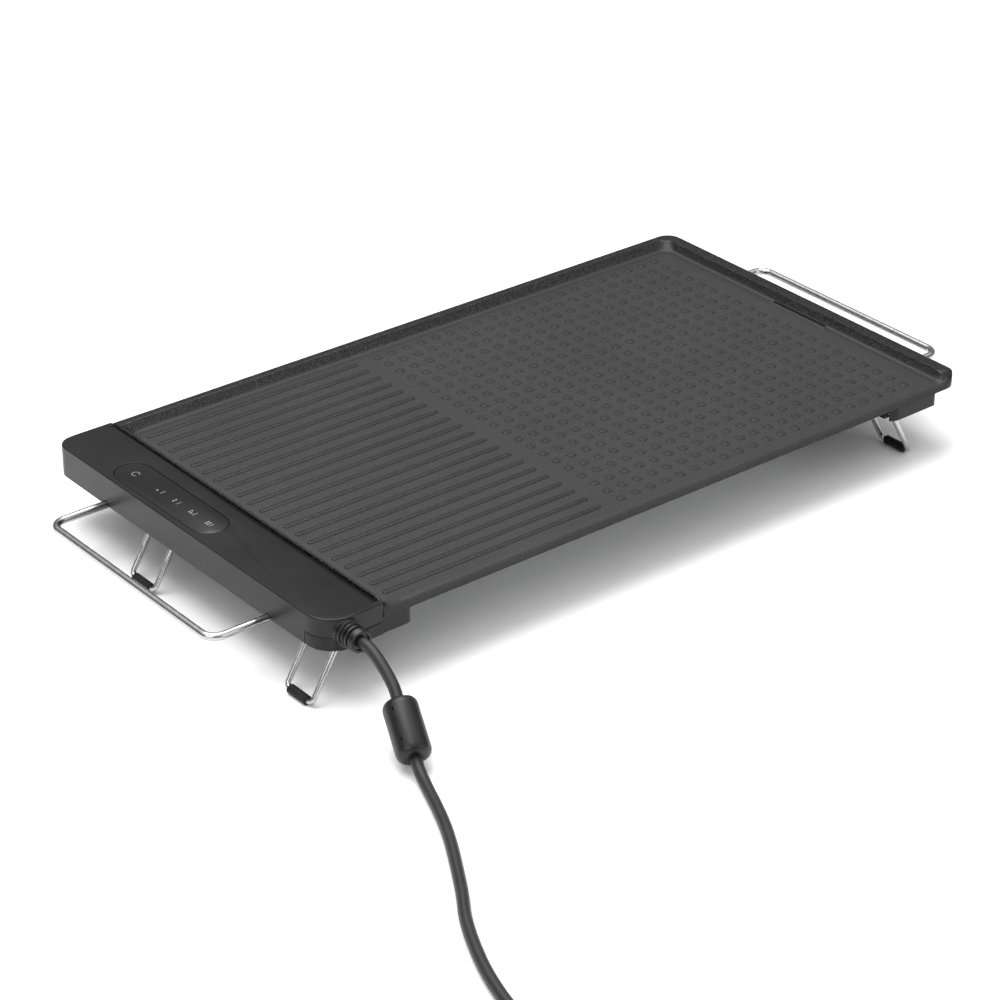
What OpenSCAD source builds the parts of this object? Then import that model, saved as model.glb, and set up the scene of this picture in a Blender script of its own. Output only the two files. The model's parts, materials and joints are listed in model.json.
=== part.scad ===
// Electric griddle: a die-cast plate on a slim control housing, with fold-away wire legs and
// handles, a slide-out drip tray and a mains lead with a suppression choke.
// Millimetres. X runs along the body, Y from front to back, Z up. The origin is on the table,
// under the middle of the body.

/* [Body] */
// Length of the body without the handles
body_length = 507; // [490:1:530]
// Width of the body, front to back
body_width = 280; // [276:1:290]
// Height of the top surfaces above the table
body_top = 53; // [51:1:58]
// Length of the control housing at the left end
housing_length = 41; // [40:1:46]
// Height of the control housing
housing_height = 20.5; // [20:0.5:22]
// Wall thickness of the plastic covers
cover_wall = 2; // [1.8:0.1:2.2]

/* [Cooking plate] */
// Height of the plate's outer edge
plate_edge_height = 9.5; // [9:0.5:10]
// Depth of the cooking surface below the rim
surface_drop = 5; // [4:0.5:5.5]
// Width of the rim along the right end
right_rim = 12; // [10:0.5:14]
// Width of the rim along the back
back_rim = 10; // [8:0.5:12]
// Radius of the rolled front edge
front_roll = 6; // [5:0.5:7]
// Corner radius of the plate seen from above
plate_corner = 11; // [8:1:14]

/* [Ribs and studs] */
// Distance between neighbouring studs, and between ribs
grid_pitch = 12.05; // [11.8:0.05:12.1]
// Number of ribs, and of studs each way
grid_count = 21; // [15:1:21]
// Side of one raised stud
stud_side = 5.5; // [4:0.5:7]
// Height of the studs above the surface
stud_height = 0.8; // [0.5:0.1:1.2]
// Width of one rib
rib_width = 3.8; // [3:0.2:5]
// Height of the ribs above the surface
rib_height = 1; // [0.6:0.1:1.4]
// Length of the ribs
rib_length = 163; // [140:1:165]

/* [Handles] */
// Distance from the body to the middle of the handle bar
handle_reach = 39; // [34:1:44]
// Diameter of the handle wire
handle_wire = 5; // [4.5:0.5:5]
// Distance between a handle's two arms
handle_span = 169; // [160:1:176]
// Bend radius of the handle's corners
handle_bend = 9; // [7:1:14]

/* [Legs] */
// Diameter of the leg wire
leg_wire = 3.5; // [3:0.5:3.5]
// Distance between a leg's two wires
leg_span = 24.4; // [24:0.1:24.6]
// Angle between a standing leg and the vertical
leg_splay = 30; // [26:1:32]
// Diameter of the rubber foot sleeve
sleeve_diameter = 5.9; // [5.5:0.1:6]

/* [Touch panel] */
// Length of the pill-shaped touch lens
lens_length = 103.5; // [100:0.5:106]
// Width of the touch lens
lens_width = 24; // [22:0.5:24.5]

/* [Heating element] */
// Diameter of the tubular element
element_diameter = 6.5; // [6:0.5:6.5]
// Distance between neighbouring runs of the element
element_pitch = 60; // [56:1:62]

/* [Mains lead] */
// Diameter of the lead
cord_diameter = 7; // [6:0.5:7]
// Diameter of the suppression choke's cover
choke_diameter = 20.5; // [18:0.5:21]
// Length of the choke's cover
choke_length = 36; // [30:1:36]

/* [Hidden] */
$fn = 48;

left_x = -body_length / 2;
right_x = body_length / 2;
front_y = -body_width / 2;
back_y = body_width / 2;
seam_x = left_x + housing_length;
body_bottom = body_top - housing_height;
plate_bottom = body_top - plate_edge_height;
surface_z = body_top - surface_drop;
gap = 0.3;                       // running gap between the housing and the plate
split_z = body_bottom + 8.5;     // parting line of the two covers
under_x = seam_x + 22;           // right end of the housing's part below the plate
under_front = front_y + 4.5;     // front of the chamber below the plate
cheek_y = front_y + 1.2;         // front face of what lies below the plate's left end
housing_corner = 18;             // front left corner of the housing
housing_back_corner = 11;        // back left corner of the housing
end_x0 = right_x - 60;           // left face of the end bracket
end_x1 = right_x - 16;           // right face of the end bracket

// Legs: [name, pivot x, middle y, side], side is -1 where the foot points to -X
pivot_z = body_bottom + 3.5;
leg_left_x = left_x + 12.5;
leg_right_x = end_x0 + 7;
legs = [
    [leg_left_x, front_y + 17, -1], [leg_left_x, front_y + 176, -1],
    [leg_right_x, front_y + 20, 1], [leg_right_x, front_y + 176, 1]
];
foot_z = sleeve_diameter / 2 - 0.2;   // the sole is cut flat where it meets the table
leg_length = (pivot_z - foot_z) / cos(leg_splay);
leg_bend = 3.5;
bay_half = leg_span / 2 + leg_wire / 2 + 0.25;
bay_top = pivot_z + leg_wire / 2 + 0.35;
bay_skin = 1.2;
pivot_block = leg_span / 2 - leg_wire / 2 - 0.25;
stub = 6;
leg_stop = 3.5 * tan(leg_splay) + leg_wire / 2 / cos(leg_splay) + 0.1;   // leans on this wall
running = 0.05;                  // radial clearance of the wires in their bores

// Handles
handle_z = body_bottom + 0.1;
handle_left_x = left_x + 14.5;
handle_right_x = end_x1 - 6.5;
handle_bar = right_x + handle_reach;
handle_stub = 10;

// Touch panel and boards
lens_x = seam_x - 25;
lens_y = 36.25;
lens_thick = 1.5;
keys_y = [74, 47, 30, 13, -4];
touch_board_z = 46.4;
board_z = 39;
board_y = [-98, -22];

// Heating element: four runs along X with three bends
element_z = plate_bottom - 0.35 - element_diameter / 2;
element_x0 = under_x + 10;
element_x1 = 110;
shield_x = [under_x + 4.5, 152];
shield_y = 122;
shield_bottom = 33.8;
clamp_x = [-110, 0, 95];

// Drain slot and drip tray
slot_x = right_x - 15.3;
slot_y = [-32, 18];
tray_x = [210, right_x - 3];
tray_y = [-45, 31];
tray_z = [35.5, 42.4];

// Mains lead: where it leaves the gland, and the points that it follows to its coil
gland_z = body_bottom + 10.5;
gland_end = front_y - 13;
route = [
    [lens_x, front_y, gland_z], [lens_x, gland_end, gland_z], [-237.5, -160, 42.4], [-238, -168, 39.8],
    [-239, -176.5, 36], [-240.4, -185, 31.5], [-243.5, -194, 26], [-248.7, -208, 17.7],
    [-254, -222, 9.5], [-257.5, -231, 5.4], [-262, -243, 3.7], [-268, -258, 3.6],
    [-276, -276, 3.6], [-285, -293, 3.6], [-295, -310, 3.6], [-306, -328, 3.6],
    [-318, -346, 3.6], [-328, -365, 3.6], [-337, -386, 3.6], [-344, -408, 3.8],
    [-349, -430, 4.1], [-351.6, -444, 4.3], [-352, -452, 4.3]
];
choke_middle = [-248.75, -208, 17.75];
choke_run = [-10.5, -28, -16.5];
coil_middle = [-398, -452];
coil_base = 0.8;
coil_turns = [32, 39, 46];       // radii of the turns in the lower layer
tail = [
    [-440.5, -452, 10.4], [-441.3, -441, 10.4], [-444, -430, 10.2],
    [-448.5, -420, 9.9], [-453, -411, 9.8]
];
plug_turn = 117;

// ---- small helpers ----

// A box from its low corner to its high corner
module block(low, high) {
    translate(low) cube(high - low);
}

// A straight round bar between two points
module bar(from, to, diameter) {
    run = to - from;
    tilt = acos(run[2] / norm(run));
    translate(from) rotate([0, tilt, atan2(run[1], run[0])]) cylinder(h = norm(run), d = diameter);
}

// What a corner at (x, y) loses to a radius; sx and sy point into the outline
module corner_loss(x, y, sx, sy, radius) {
    difference() {
        translate([sx > 0 ? x - 1 : x - radius, sy > 0 ? y - 1 : y - radius])
            square(radius + 1);
        translate([x + sx * radius, y + sy * radius]) circle(radius);
    }
}

// A rectangle with its own radius at each corner: front left, back left, front right, back right
module outline(x, y, radii) {
    difference() {
        translate([x[0], y[0]]) square([x[1] - x[0], y[1] - y[0]]);
        if (radii[0] > 0) corner_loss(x[0], y[0], 1, 1, radii[0]);
        if (radii[1] > 0) corner_loss(x[0], y[1], 1, -1, radii[1]);
        if (radii[2] > 0) corner_loss(x[1], y[0], -1, 1, radii[2]);
        if (radii[3] > 0) corner_loss(x[1], y[1], -1, -1, radii[3]);
    }
}

module plate_of(z0, z1) {
    translate([0, 0, z0]) linear_extrude(z1 - z0) children();
}

// A stadium along Y, centred on (x, y)
module pill(x, y, length, width) {
    translate([x - width / 2, y - length / 2 + width / 2]) square([width, length - width]);
    for (s = [-1, 1]) translate([x, y + s * (length - width) / 2]) circle(d = width);
}

// A screw that points up, with the underside of its pan head at z
module screw(x, y, z, length, diameter) {
    translate([x, y, z]) cylinder(h = length, d = diameter, $fn = 24);
    translate([x, y, z - 0.6 * diameter]) cylinder(h = 0.6 * diameter, d = 1.9 * diameter, $fn = 24);
}

// ---- outlines ----

module housing_outline(inset) {
    outline([left_x + inset, seam_x - gap - inset], [front_y + inset, back_y - inset],
        [housing_corner - inset, housing_back_corner - inset, 0, 0]);
}

module under_outline(inset) {
    outline([seam_x - gap - cover_wall - 1, under_x - inset],
        [under_front + inset, -under_front - inset], [0, 0, 5 - inset, 5 - inset]);
}

// Outside of that part, whose cheek closes the front of the leg's bay
module cheek_outline() {
    outline([seam_x + 0.3, under_x], [cheek_y, -cheek_y], [0, 0, 5, 5]);
}

module end_outline(inset) {
    outline([end_x0 + inset, end_x1 - inset], [front_y + 3 + inset, -front_y - 3 - inset],
        [10 - inset, 10 - inset, 4 - inset, 4 - inset]);
}

// ---- mounts shared by the left housing and the end bracket ----

// The roofed bay that a leg folds into; it opens towards the middle of the body
module leg_bay(leg, grow) {
    reach = leg_length + sleeve_diameter / 2 + 0.6;
    x0 = leg[2] < 0 ? leg[0] - leg_stop : leg[0] - reach;
    x1 = leg[2] < 0 ? leg[0] + reach : leg[0] + leg_stop;
    block([x0 - grow, leg[1] - bay_half - grow, body_bottom - (grow > 0 ? 0 : 1)],
        [x1 + grow, leg[1] + bay_half + grow, bay_top + grow]);
}

// The block that holds a leg's pivot, under the bay's roof
module leg_block(leg) {
    difference() {
        block([leg[0] - 4, leg[1] - pivot_block, body_bottom],
            [leg[0] + 4, leg[1] + pivot_block, bay_top + 0.1]);
        translate([leg[0], leg[1] - pivot_block - 1, pivot_z]) rotate([-90, 0, 0])
            cylinder(h = 2 * pivot_block + 2, d = leg_wire + 2 * running);
    }
}

// The lug below the floor that holds a handle's stub; the stub points to the middle
module handle_lug(x, side) {
    y0 = handle_span / 2 - handle_wire / 2 - 0.4;
    block([x - 5.5, min(side * y0, side * (y0 - 12)), handle_z - 4.4],
        [x + 5.5, max(side * y0, side * (y0 - 12)), body_bottom + 5]);
}

// The bore of both stubs of a handle, with the slot that their corners turn in
module handle_bore(x) {
    for (side = [-1, 1]) {
        translate([x, side * (handle_span / 2 - 9.3), handle_z]) rotate([90, 0, 0])
            cylinder(h = 19, d = handle_wire + 2 * running, center = true);
        translate([x, side * handle_span / 2, handle_z]) rotate([90, 0, 0])
            cylinder(h = handle_wire + 0.9, d = handle_wire + 0.9, center = true);
    }
}

// The groove that an arm lies in, and the roof over it
module arm_roof(x0, x1, side) {
    block([x0, side * handle_span / 2 - 5.5, body_bottom],
        [x1, side * handle_span / 2 + 5.5, body_bottom + 5]);
}

module arm_groove(x0, x1, side) {
    translate([x0, side * handle_span / 2, handle_z]) rotate([0, 90, 0])
        cylinder(h = x1 - x0, d = handle_wire + 0.9);
    block([x0, side * handle_span / 2 - handle_wire / 2 - 0.45, body_bottom - 6],
        [x1, side * handle_span / 2 + handle_wire / 2 + 0.45, handle_z]);
}

// ---- cooking plate ----

mount_points = [
    [under_x - 5, -100], [under_x - 5, 0], [under_x - 5, 100],
    [end_x0 + 20, -112], [end_x0 + 20, -62], [end_x0 + 12, 0], [end_x0 + 20, 112]
];
shield_points = [
    for (x = [shield_x[0] + 22, shield_x[1] - 14]) for (s = [-1, 1]) [x, s * 112]
];
clamp_points = [
    for (x = clamp_x) for (k = [-1.5 : 1 : 1.5]) [x, k * element_pitch]
];

module griddle_plate() {
    color([0.24, 0.25, 0.26]) difference() {
        union() {
            plate_body();
            raised_pattern();
            for (p = shield_points)
                translate([p[0], p[1], plate_bottom - 7]) cylinder(h = 8, d = 7, $fn = 32);
        }
        plate_of(plate_bottom - 1, body_top)
            pill(slot_x, (slot_y[0] + slot_y[1]) / 2, slot_y[1] - slot_y[0], 2.6);
        for (p = mount_points)
            translate([p[0], p[1], plate_bottom - 0.1]) cylinder(h = 3.2, d = 3.1, $fn = 24);
        for (p = shield_points)
            translate([p[0], p[1], plate_bottom - 7.1]) cylinder(h = 8, d = 2.6, $fn = 24);
        for (p = clamp_points) for (s = [-1, 1])
            translate([p[0], p[1] + s * 12, plate_bottom - 0.1]) cylinder(h = 3.2, d = 2.6, $fn = 24);
    }
}

// The casting: a slab with a rolled front edge inside a rim on the other three sides
module plate_body() {
    intersection() {
        plate_of(plate_bottom, body_top)
            outline([seam_x + gap, right_x], [front_y, back_y], [0, 0, plate_corner, plate_corner]);
        union() {
            difference() {
                plate_of(plate_bottom, body_top) translate([left_x, front_y])
                    square([body_length, body_width]);
                plate_of(surface_z, body_top + 1)
                    outline([seam_x + gap + 2.6, right_x - right_rim],
                        [front_y - 20, back_y - back_rim], [0, 8, 0, 8]);
                front_loss();
            }
        }
    }
}

// What the front edge loses to its roll
module front_loss() {
    r = front_roll;
    translate([seam_x + gap + 2.6, 0, 0]) rotate([90, 0, 90])
        linear_extrude(right_x - right_rim - seam_x - gap - 2.6) difference() {
            translate([front_y - 1, surface_z - r]) square([r + 1, r + 1]);
            translate([front_y + r, surface_z - r]) circle(r);
        }
}

module raised_pattern() {
    first_y = front_y + 15.5;
    plate_of(surface_z - 0.1, surface_z + stud_height)
        for (i = [0 : grid_count - 1]) for (k = [0 : grid_count - 1])
            translate([seam_x + 190 + i * grid_pitch, first_y + k * grid_pitch])
                square(stud_side, center = true);
    plate_of(surface_z - 0.1, surface_z + rib_height)
        for (k = [0 : grid_count - 1]) {
            y = first_y + k * grid_pitch;
            translate([seam_x + 11 + rib_width / 2, y - rib_width / 2])
                square([rib_length - rib_width, rib_width]);
            for (x = [seam_x + 11 + rib_width / 2, seam_x + 11 + rib_length - rib_width / 2])
                translate([x, y]) circle(d = rib_width, $fn = 16);
        }
}

// ---- control housing ----

cover_points = [
    [left_x + 8, -104], [seam_x - 7, -104], [seam_x - 7, -14], [seam_x - 7, 62],
    [seam_x - 7, 128], [left_x + 8, 112]
];

module housing_top_cover() {
    color([0.10, 0.10, 0.11]) difference() {
        union() {
            difference() {
                plate_of(split_z, body_top) housing_outline(0);
                plate_of(split_z - 1, body_top - 2.2) housing_outline(cover_wall);
                // the wall beside the plate stops where the plate's edge begins to cover it
                block([seam_x - gap - cover_wall - 0.1, front_y + 4.3, split_z - 1],
                    [seam_x + 1, back_y - 4.3, plate_bottom - 0.2]);
            }
            left_skirt();
            gland_seat(split_z, body_top - 1);
            for (p = cover_points)
                translate([p[0], p[1], split_z - 2]) cylinder(h = body_top - split_z, d = 6);
        }
        seam_bevel();
        plate_of(body_top - lens_thick - 0.1, body_top + 1)
            pill(lens_x, lens_y, lens_length + 0.5, lens_width + 0.5);
        for (y = keys_y) translate([lens_x, y, body_top - 3]) cylinder(h = 3, d = 9);
        for (y = keys_y) translate([lens_x + 7.5, y, body_top - 3]) cylinder(h = 3, d = 2.4);
        for (p = cover_points)
            translate([p[0], p[1], split_z - 3]) cylinder(h = 9, d = 2.7, $fn = 24);
        gland_hole();
        for (s = [-1, 1]) arm_groove(left_x - 1, left_x + 20, s);
    }
}

// The left wall runs the full height, except near the front corner
module left_skirt() {
    intersection() {
        plate_of(body_bottom, split_z + 0.1) difference() {
            housing_outline(0);
            housing_outline(cover_wall);
        }
        block([left_x - 1, front_y + 19.7, body_bottom - 1],
            [left_x + cover_wall + 10, back_y + 1, split_z + 1]);
    }
}

// A shallow bevel along the plate
module seam_bevel() {
    translate([0, back_y - 4, 0]) rotate([90, 0, 0]) linear_extrude(body_width - 8)
        polygon([[seam_x - 4.8, body_top + 0.01], [seam_x + 1, body_top + 0.01],
            [seam_x + 1, body_top - 1.8], [seam_x - gap, body_top - 1.5]]);
}

module gland_hole() {
    translate([lens_x, front_y - 1, gland_z]) rotate([-90, 0, 0]) cylinder(h = 8, d = 11.8);
}

// The flat seat of the gland's flange, between two heights
module gland_seat(z0, z1) {
    intersection() {
        translate([lens_x, front_y, gland_z]) rotate([-90, 0, 0]) cylinder(h = 5, d = 18);
        block([lens_x - 20, front_y - 1, z0], [lens_x + 20, front_y + 20, z1]);
    }
}

module housing_bottom_cover() {
    color([0.09, 0.09, 0.10]) difference() {
        union() {
            difference() {
                bottom_shell();
                for (i = [0, 1]) leg_bay(legs[i], 0);
                for (s = [-1, 1]) arm_groove(left_x - 1, handle_left_x + 18, s);
            }
            gland_seat(bay_top + 0.3, split_z);
            for (i = [0, 1]) leg_block(legs[i]);
            for (s = [-1, 1]) handle_lug(handle_left_x, s);
            for (x = [lens_x - 7, lens_x + 11]) for (y = [board_y[0] + 5, board_y[1] - 5])
                translate([x, y, body_bottom + 1]) cylinder(h = board_z - body_bottom - 1, d = 5);
        }
        gland_hole();
        handle_bore(handle_left_x);
        for (p = cover_points) cover_screw_hole(p);
        for (i = [0 : 2]) mount_screw_hole(mount_points[i]);
        block([under_x - 3, -9, plate_bottom - 5], [under_x + 1, 9, plate_bottom]);
        for (s = [-1, 1]) translate([under_x, s * 1.5 * element_pitch, element_z])
            rotate([0, 90, 0]) cylinder(h = 10, d = 8, center = true);
        for (x = [lens_x - 7, lens_x + 11]) for (y = [board_y[0] + 5, board_y[1] - 5])
            translate([x, y, board_z - 5]) cylinder(h = 6, d = 2.2, $fn = 24);
        for (k = [-5 : 5]) block([seam_x + 3, k * 7 - 1, body_bottom - 1],
            [under_x - 9, k * 7 + 1, body_bottom + 3]);
    }
}

// Floor, walls, bay roofs and groove roofs of the lower cover
module bottom_shell() {
    difference() {
        union() {
            plate_of(body_bottom, split_z) housing_outline(0);
            plate_of(body_bottom, plate_bottom - 0.2) {
                under_outline(0);
                cheek_outline();
            }
            for (s = [-1, 1]) block([seam_x - gap - 1, min(s * cheek_y, s * (cheek_y + 4)), body_bottom],
                [seam_x + 1, max(s * cheek_y, s * (cheek_y + 4)), split_z]);
        }
        difference() {
            union() {
                plate_of(body_bottom + cover_wall, split_z + 1) housing_outline(cover_wall);
                plate_of(body_bottom + cover_wall, plate_bottom + 1) under_outline(cover_wall);
                // the two chambers join below the plate's edge
                block([seam_x - 6, under_front + 2 * cover_wall, body_bottom + cover_wall],
                    [seam_x + 3, -under_front - 2 * cover_wall, plate_bottom + 1]);
            }
            for (i = [0, 1]) leg_bay(legs[i], bay_skin);
            for (s = [-1, 1]) arm_roof(left_x, handle_left_x + 19, s);
            for (p = cover_points)
                translate([p[0], p[1], body_bottom]) cylinder(h = split_z - 2 - body_bottom, d = 7);
            for (i = [0 : 2]) translate([mount_points[i][0], mount_points[i][1], body_bottom])
                cylinder(h = plate_bottom - body_bottom - 0.2, d = 7);
        }
        // room for the upper cover's full-height left wall
        difference() {
            block([left_x - 1, front_y + 19.6, body_bottom - 1],
                [left_x + cover_wall + 10, back_y + 1, split_z + 1]);
            plate_of(body_bottom - 2, split_z + 2) housing_outline(cover_wall + 0.05);
        }
    }
}

module cover_screw_hole(p) {
    translate([p[0], p[1], body_bottom - 1]) cylinder(h = 12, d = 3.2, $fn = 24);
    translate([p[0], p[1], body_bottom - 1]) cylinder(h = 3.2, d = 5.8, $fn = 24);
}

module mount_screw_hole(p) {
    translate([p[0], p[1], body_bottom - 1]) cylinder(h = 14, d = 3.3, $fn = 24);
    translate([p[0], p[1], body_bottom - 1]) cylinder(h = 3.2, d = 6.2, $fn = 24);
}

// Silicone strip between the housing and the plate
module plate_seal() {
    color([0.05, 0.05, 0.05])
        block([seam_x - gap, front_y + 6, plate_bottom + 0.3], [seam_x + gap, back_y - 6, surface_z + 1]);
}

module touch_lens() {
    color([0.07, 0.07, 0.08]) plate_of(body_top - lens_thick - 0.05, body_top - 0.05)
        pill(lens_x, lens_y, lens_length, lens_width);
}

module touch_board() {
    color([0.05, 0.25, 0.12]) block([lens_x - 10, lens_y - 50, touch_board_z],
        [lens_x + 10, lens_y + 50, touch_board_z + 1.6]);
}

module touch_springs() {
    color([0.75, 0.72, 0.6]) for (y = keys_y) translate([lens_x, y, touch_board_z + 1.6])
        difference() {
            cylinder(h = body_top - lens_thick - 0.05 - touch_board_z - 1.6, d = 7);
            translate([0, 0, -1]) cylinder(h = 9, d = 5.4);
        }
}

module indicator_leds() {
    color([0.9, 0.9, 0.85]) for (y = keys_y) translate([lens_x + 7.5, y, touch_board_z + 1.6]) {
        translate([-1, -1, 0]) cube([2, 2, 1]);
        translate([0, 0, 1]) cylinder(h = 0.8, d = 1.6, $fn = 24);
    }
}

// Ribbon from the touch board down to the control board
module touch_cable() {
    color([0.8, 0.8, 0.82]) difference() {
        block([lens_x - 3, board_y[1] - 9, board_z + 1.6], [lens_x + 5, lens_y - 46, touch_board_z]);
        block([lens_x - 6, board_y[1] - 10, board_z + 2.2], [lens_x + 6, lens_y - 46.6, touch_board_z + 1]);
    }
}

module control_board() {
    color([0.06, 0.3, 0.15]) difference() {
        block([lens_x - 11, board_y[0], board_z], [lens_x + 18, board_y[1], board_z + 1.6]);
        for (x = [lens_x - 7, lens_x + 11]) for (y = [board_y[0] + 5, board_y[1] - 5])
            translate([x, y, board_z - 1]) cylinder(h = 4, d = 2.4, $fn = 24);
    }
}

module heater_relay() {
    color([0.15, 0.2, 0.5]) block([lens_x - 7, -72, board_z + 1.6], [lens_x + 8, -52, board_z + 11]);
}

module supply_capacitor() {
    color([0.75, 0.6, 0.15]) translate([lens_x - 8, -42, board_z + 6.6]) rotate([0, 90, 0])
        cylinder(h = 17, d = 10);
}

module terminal_block() {
    color([0.1, 0.45, 0.2]) difference() {
        block([lens_x - 3, -88, board_z + 1.6], [lens_x + 15, -76, board_z + 10.6]);
        for (k = [0 : 2]) translate([lens_x + 0.5 + 5.5 * k, -89, board_z + 5])
            rotate([-90, 0, 0]) cylinder(h = 8, d = 3);
    }
}

module board_screws() {
    color([0.7, 0.7, 0.72]) for (x = [lens_x - 7, lens_x + 11])
        for (y = [board_y[0] + 5, board_y[1] - 5]) translate([x, y, board_z - 4]) {
            cylinder(h = 5.6, d = 2.2, $fn = 24);
            translate([0, 0, 5.6]) cylinder(h = 1.5, d = 4.4, $fn = 24);
        }
}

module cover_screws() {
    color([0.2, 0.2, 0.2]) for (p = cover_points) screw(p[0], p[1], body_bottom + 2.2, 10, 2.6);
}

module housing_mount_screws() {
    color([0.2, 0.2, 0.2]) for (i = [0 : 2])
        screw(mount_points[i][0], mount_points[i][1], body_bottom + 2.2, 11.4, 3);
}

// ---- heating ----

module element_tube(diameter) {
    bend = element_pitch / 2;
    for (k = [-1.5 : 1 : 1.5]) {
        start = abs(k) > 1 ? element_x0 : element_x0 + 30 + bend;
        bar([start, k * element_pitch, element_z], [element_x1, k * element_pitch, element_z], diameter);
    }
    for (k = [-1, 1]) translate([element_x1, k * element_pitch, element_z])
        rotate([0, 0, -90]) rotate_extrude(angle = 180) translate([bend, 0]) circle(d = diameter);
    translate([element_x0 + 30 + bend, 0, element_z])
        rotate([0, 0, 90]) rotate_extrude(angle = 180) translate([bend, 0]) circle(d = diameter);
}

module heating_element() {
    color([0.35, 0.33, 0.3]) element_tube(element_diameter);
}

module element_insulators() {
    color([0.9, 0.88, 0.8]) for (s = [-1, 1])
        bar([under_x - 3, s * 1.5 * element_pitch, element_z],
            [element_x0, s * 1.5 * element_pitch, element_z], 7);
}

module element_pins() {
    color([0.7, 0.7, 0.68]) for (s = [-1, 1])
        bar([under_x - 12, s * 1.5 * element_pitch, element_z],
            [under_x - 3, s * 1.5 * element_pitch, element_z], 2.5);
}

module element_clamps() {
    low = element_z - element_diameter / 2;
    color([0.7, 0.7, 0.7]) for (p = clamp_points) difference() {
        union() {
            block([p[0] - 4, p[1] - 5, low - 1], [p[0] + 4, p[1] + 5, low]);
            for (s = [-1, 1]) {
                block([p[0] - 4, p[1] + s * 4.5 - 0.5, low - 1],
                    [p[0] + 4, p[1] + s * 4.5 + 0.5, plate_bottom]);
                block([p[0] - 4, p[1] + s * 10 - 6, plate_bottom - 1],
                    [p[0] + 4, p[1] + s * 10 + 6, plate_bottom]);
            }
        }
        block([p[0] - 5, p[1] - 4, low], [p[0] + 5, p[1] + 4, plate_bottom + 1]);
        for (s = [-1, 1]) translate([p[0], p[1] + s * 12, plate_bottom - 3])
            cylinder(h = 4, d = 2.8, $fn = 24);
    }
}

module clamp_screws() {
    color([0.75, 0.75, 0.75]) for (p = clamp_points) for (s = [-1, 1])
        screw(p[0], p[1] + s * 12, plate_bottom - 1, 3.6, 2.5);
}

module temperature_sensor() {
    color([0.8, 0.8, 0.8]) translate([-60, 0, plate_bottom - 5]) {
        cylinder(h = 5, d = 8);
        translate([0, 0, 3.6]) cylinder(h = 1.4, d = 14);
    }
}

module thermal_fuse() {
    color([0.85, 0.8, 0.7]) translate([-168, 12, plate_bottom - 2.5]) rotate([-90, 0, 0])
        cylinder(h = 16, d = 5);
}

module lead(points, diameter) {
    swept_tube(smooth(points, 3), diameter);
}

// Leads inside: lead to terminals, relay to the element's pins, and those of sensor and fuse
module inner_wiring() {
    z = board_z + 1.5;
    x = seam_x + 8;
    pin_y = 1.5 * element_pitch - 3.1;
    low = element_z - element_diameter / 2 - 0.9;
    out = plate_bottom - 1.25;
    color([0.6, 0.1, 0.1]) {
        for (k = [0 : 2]) lead([[lens_x + 0.5 + 5.5 * k, -84, board_z + 5],
            [lens_x + 0.5 + 5.5 * k, -96, board_z + 5],
            [lens_x - 2.2 + 2.2 * k, -102.8, gland_z], [lens_x - 2.2 + 2.2 * k, -105.4, gland_z]], 2);
        lead([[lens_x + 8, -66, z + 1.6], [seam_x + 2, -66, z + 1.6], [x, -78, z],
            [under_x - 10.8, -pin_y, element_z]], 2);
        lead([[lens_x + 8, -60, z + 1.6], [seam_x, -60, z + 1.6], [x, -40, z], [x, 76, z],
            [under_x - 10.8, pin_y, element_z]], 2);
        lead([[-168, 12, plate_bottom - 2.5], [-168, 8, plate_bottom - 2.5],
            [-182, 6, plate_bottom - 3], [-197, 6, out], [-208, -2, out], [-213, -16, out],
            [lens_x + 16, -24.5, board_z + 2.5]], 1.4);
        lead([[-64, 0, plate_bottom - 3], [-70, 0, plate_bottom - 3], [-78, 0, low],
            [-158, -4, low], [-172, -6, plate_bottom - 3], [-197, -6, out], [-210, -19, out],
            [lens_x + 16, -28, board_z + 2.5]], 1.4);
    }
}

module heat_shield() {
    color([0.72, 0.73, 0.75]) difference() {
        plate_of(shield_bottom, plate_bottom - 0.2)
            outline(shield_x, [-shield_y, shield_y], [6, 6, 6, 6]);
        plate_of(shield_bottom + 0.6, plate_bottom)
            outline(shield_x + [0.6, -0.6], [0.6 - shield_y, shield_y - 0.6], [5.4, 5.4, 5.4, 5.4]);
        for (s = [-1, 1]) translate([shield_x[0], s * 1.5 * element_pitch, element_z])
            rotate([0, 90, 0]) cylinder(h = 8, d = 8, center = true);
        block([shield_x[0] - 1, -9, plate_bottom - 6], [shield_x[0] + 2, 9, plate_bottom]);
        for (p = shield_points)
            translate([p[0], p[1], shield_bottom - 1]) cylinder(h = 3, d = 3.2, $fn = 24);
    }
}

module shield_screws() {
    color([0.75, 0.75, 0.75]) for (p = shield_points) {
        translate([p[0], p[1], shield_bottom + 0.6]) cylinder(h = 2.1, d = 5.6, $fn = 24);
        screw(p[0], p[1], shield_bottom, 8, 2.5);
    }
}

// ---- right end ----

module end_bracket() {
    color([0.09, 0.09, 0.10]) difference() {
        union() {
            difference() {
                end_shell();
                for (i = [2, 3]) leg_bay(legs[i], 0);
                for (s = [-1, 1]) arm_groove(handle_right_x - 18, end_x1 + 1, s);
            }
            for (i = [2, 3]) leg_block(legs[i]);
            for (s = [-1, 1]) handle_lug(handle_right_x, s);
        }
        handle_bore(handle_right_x);
        for (i = [3 : 6]) mount_screw_hole(mount_points[i]);
        block([end_x1 - cover_wall - 1, tray_y[0] - 0.6, tray_z[0] - 0.3],
            [end_x1 + 1, tray_y[1] + 0.6, plate_bottom + 1]);
    }
}

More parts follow.
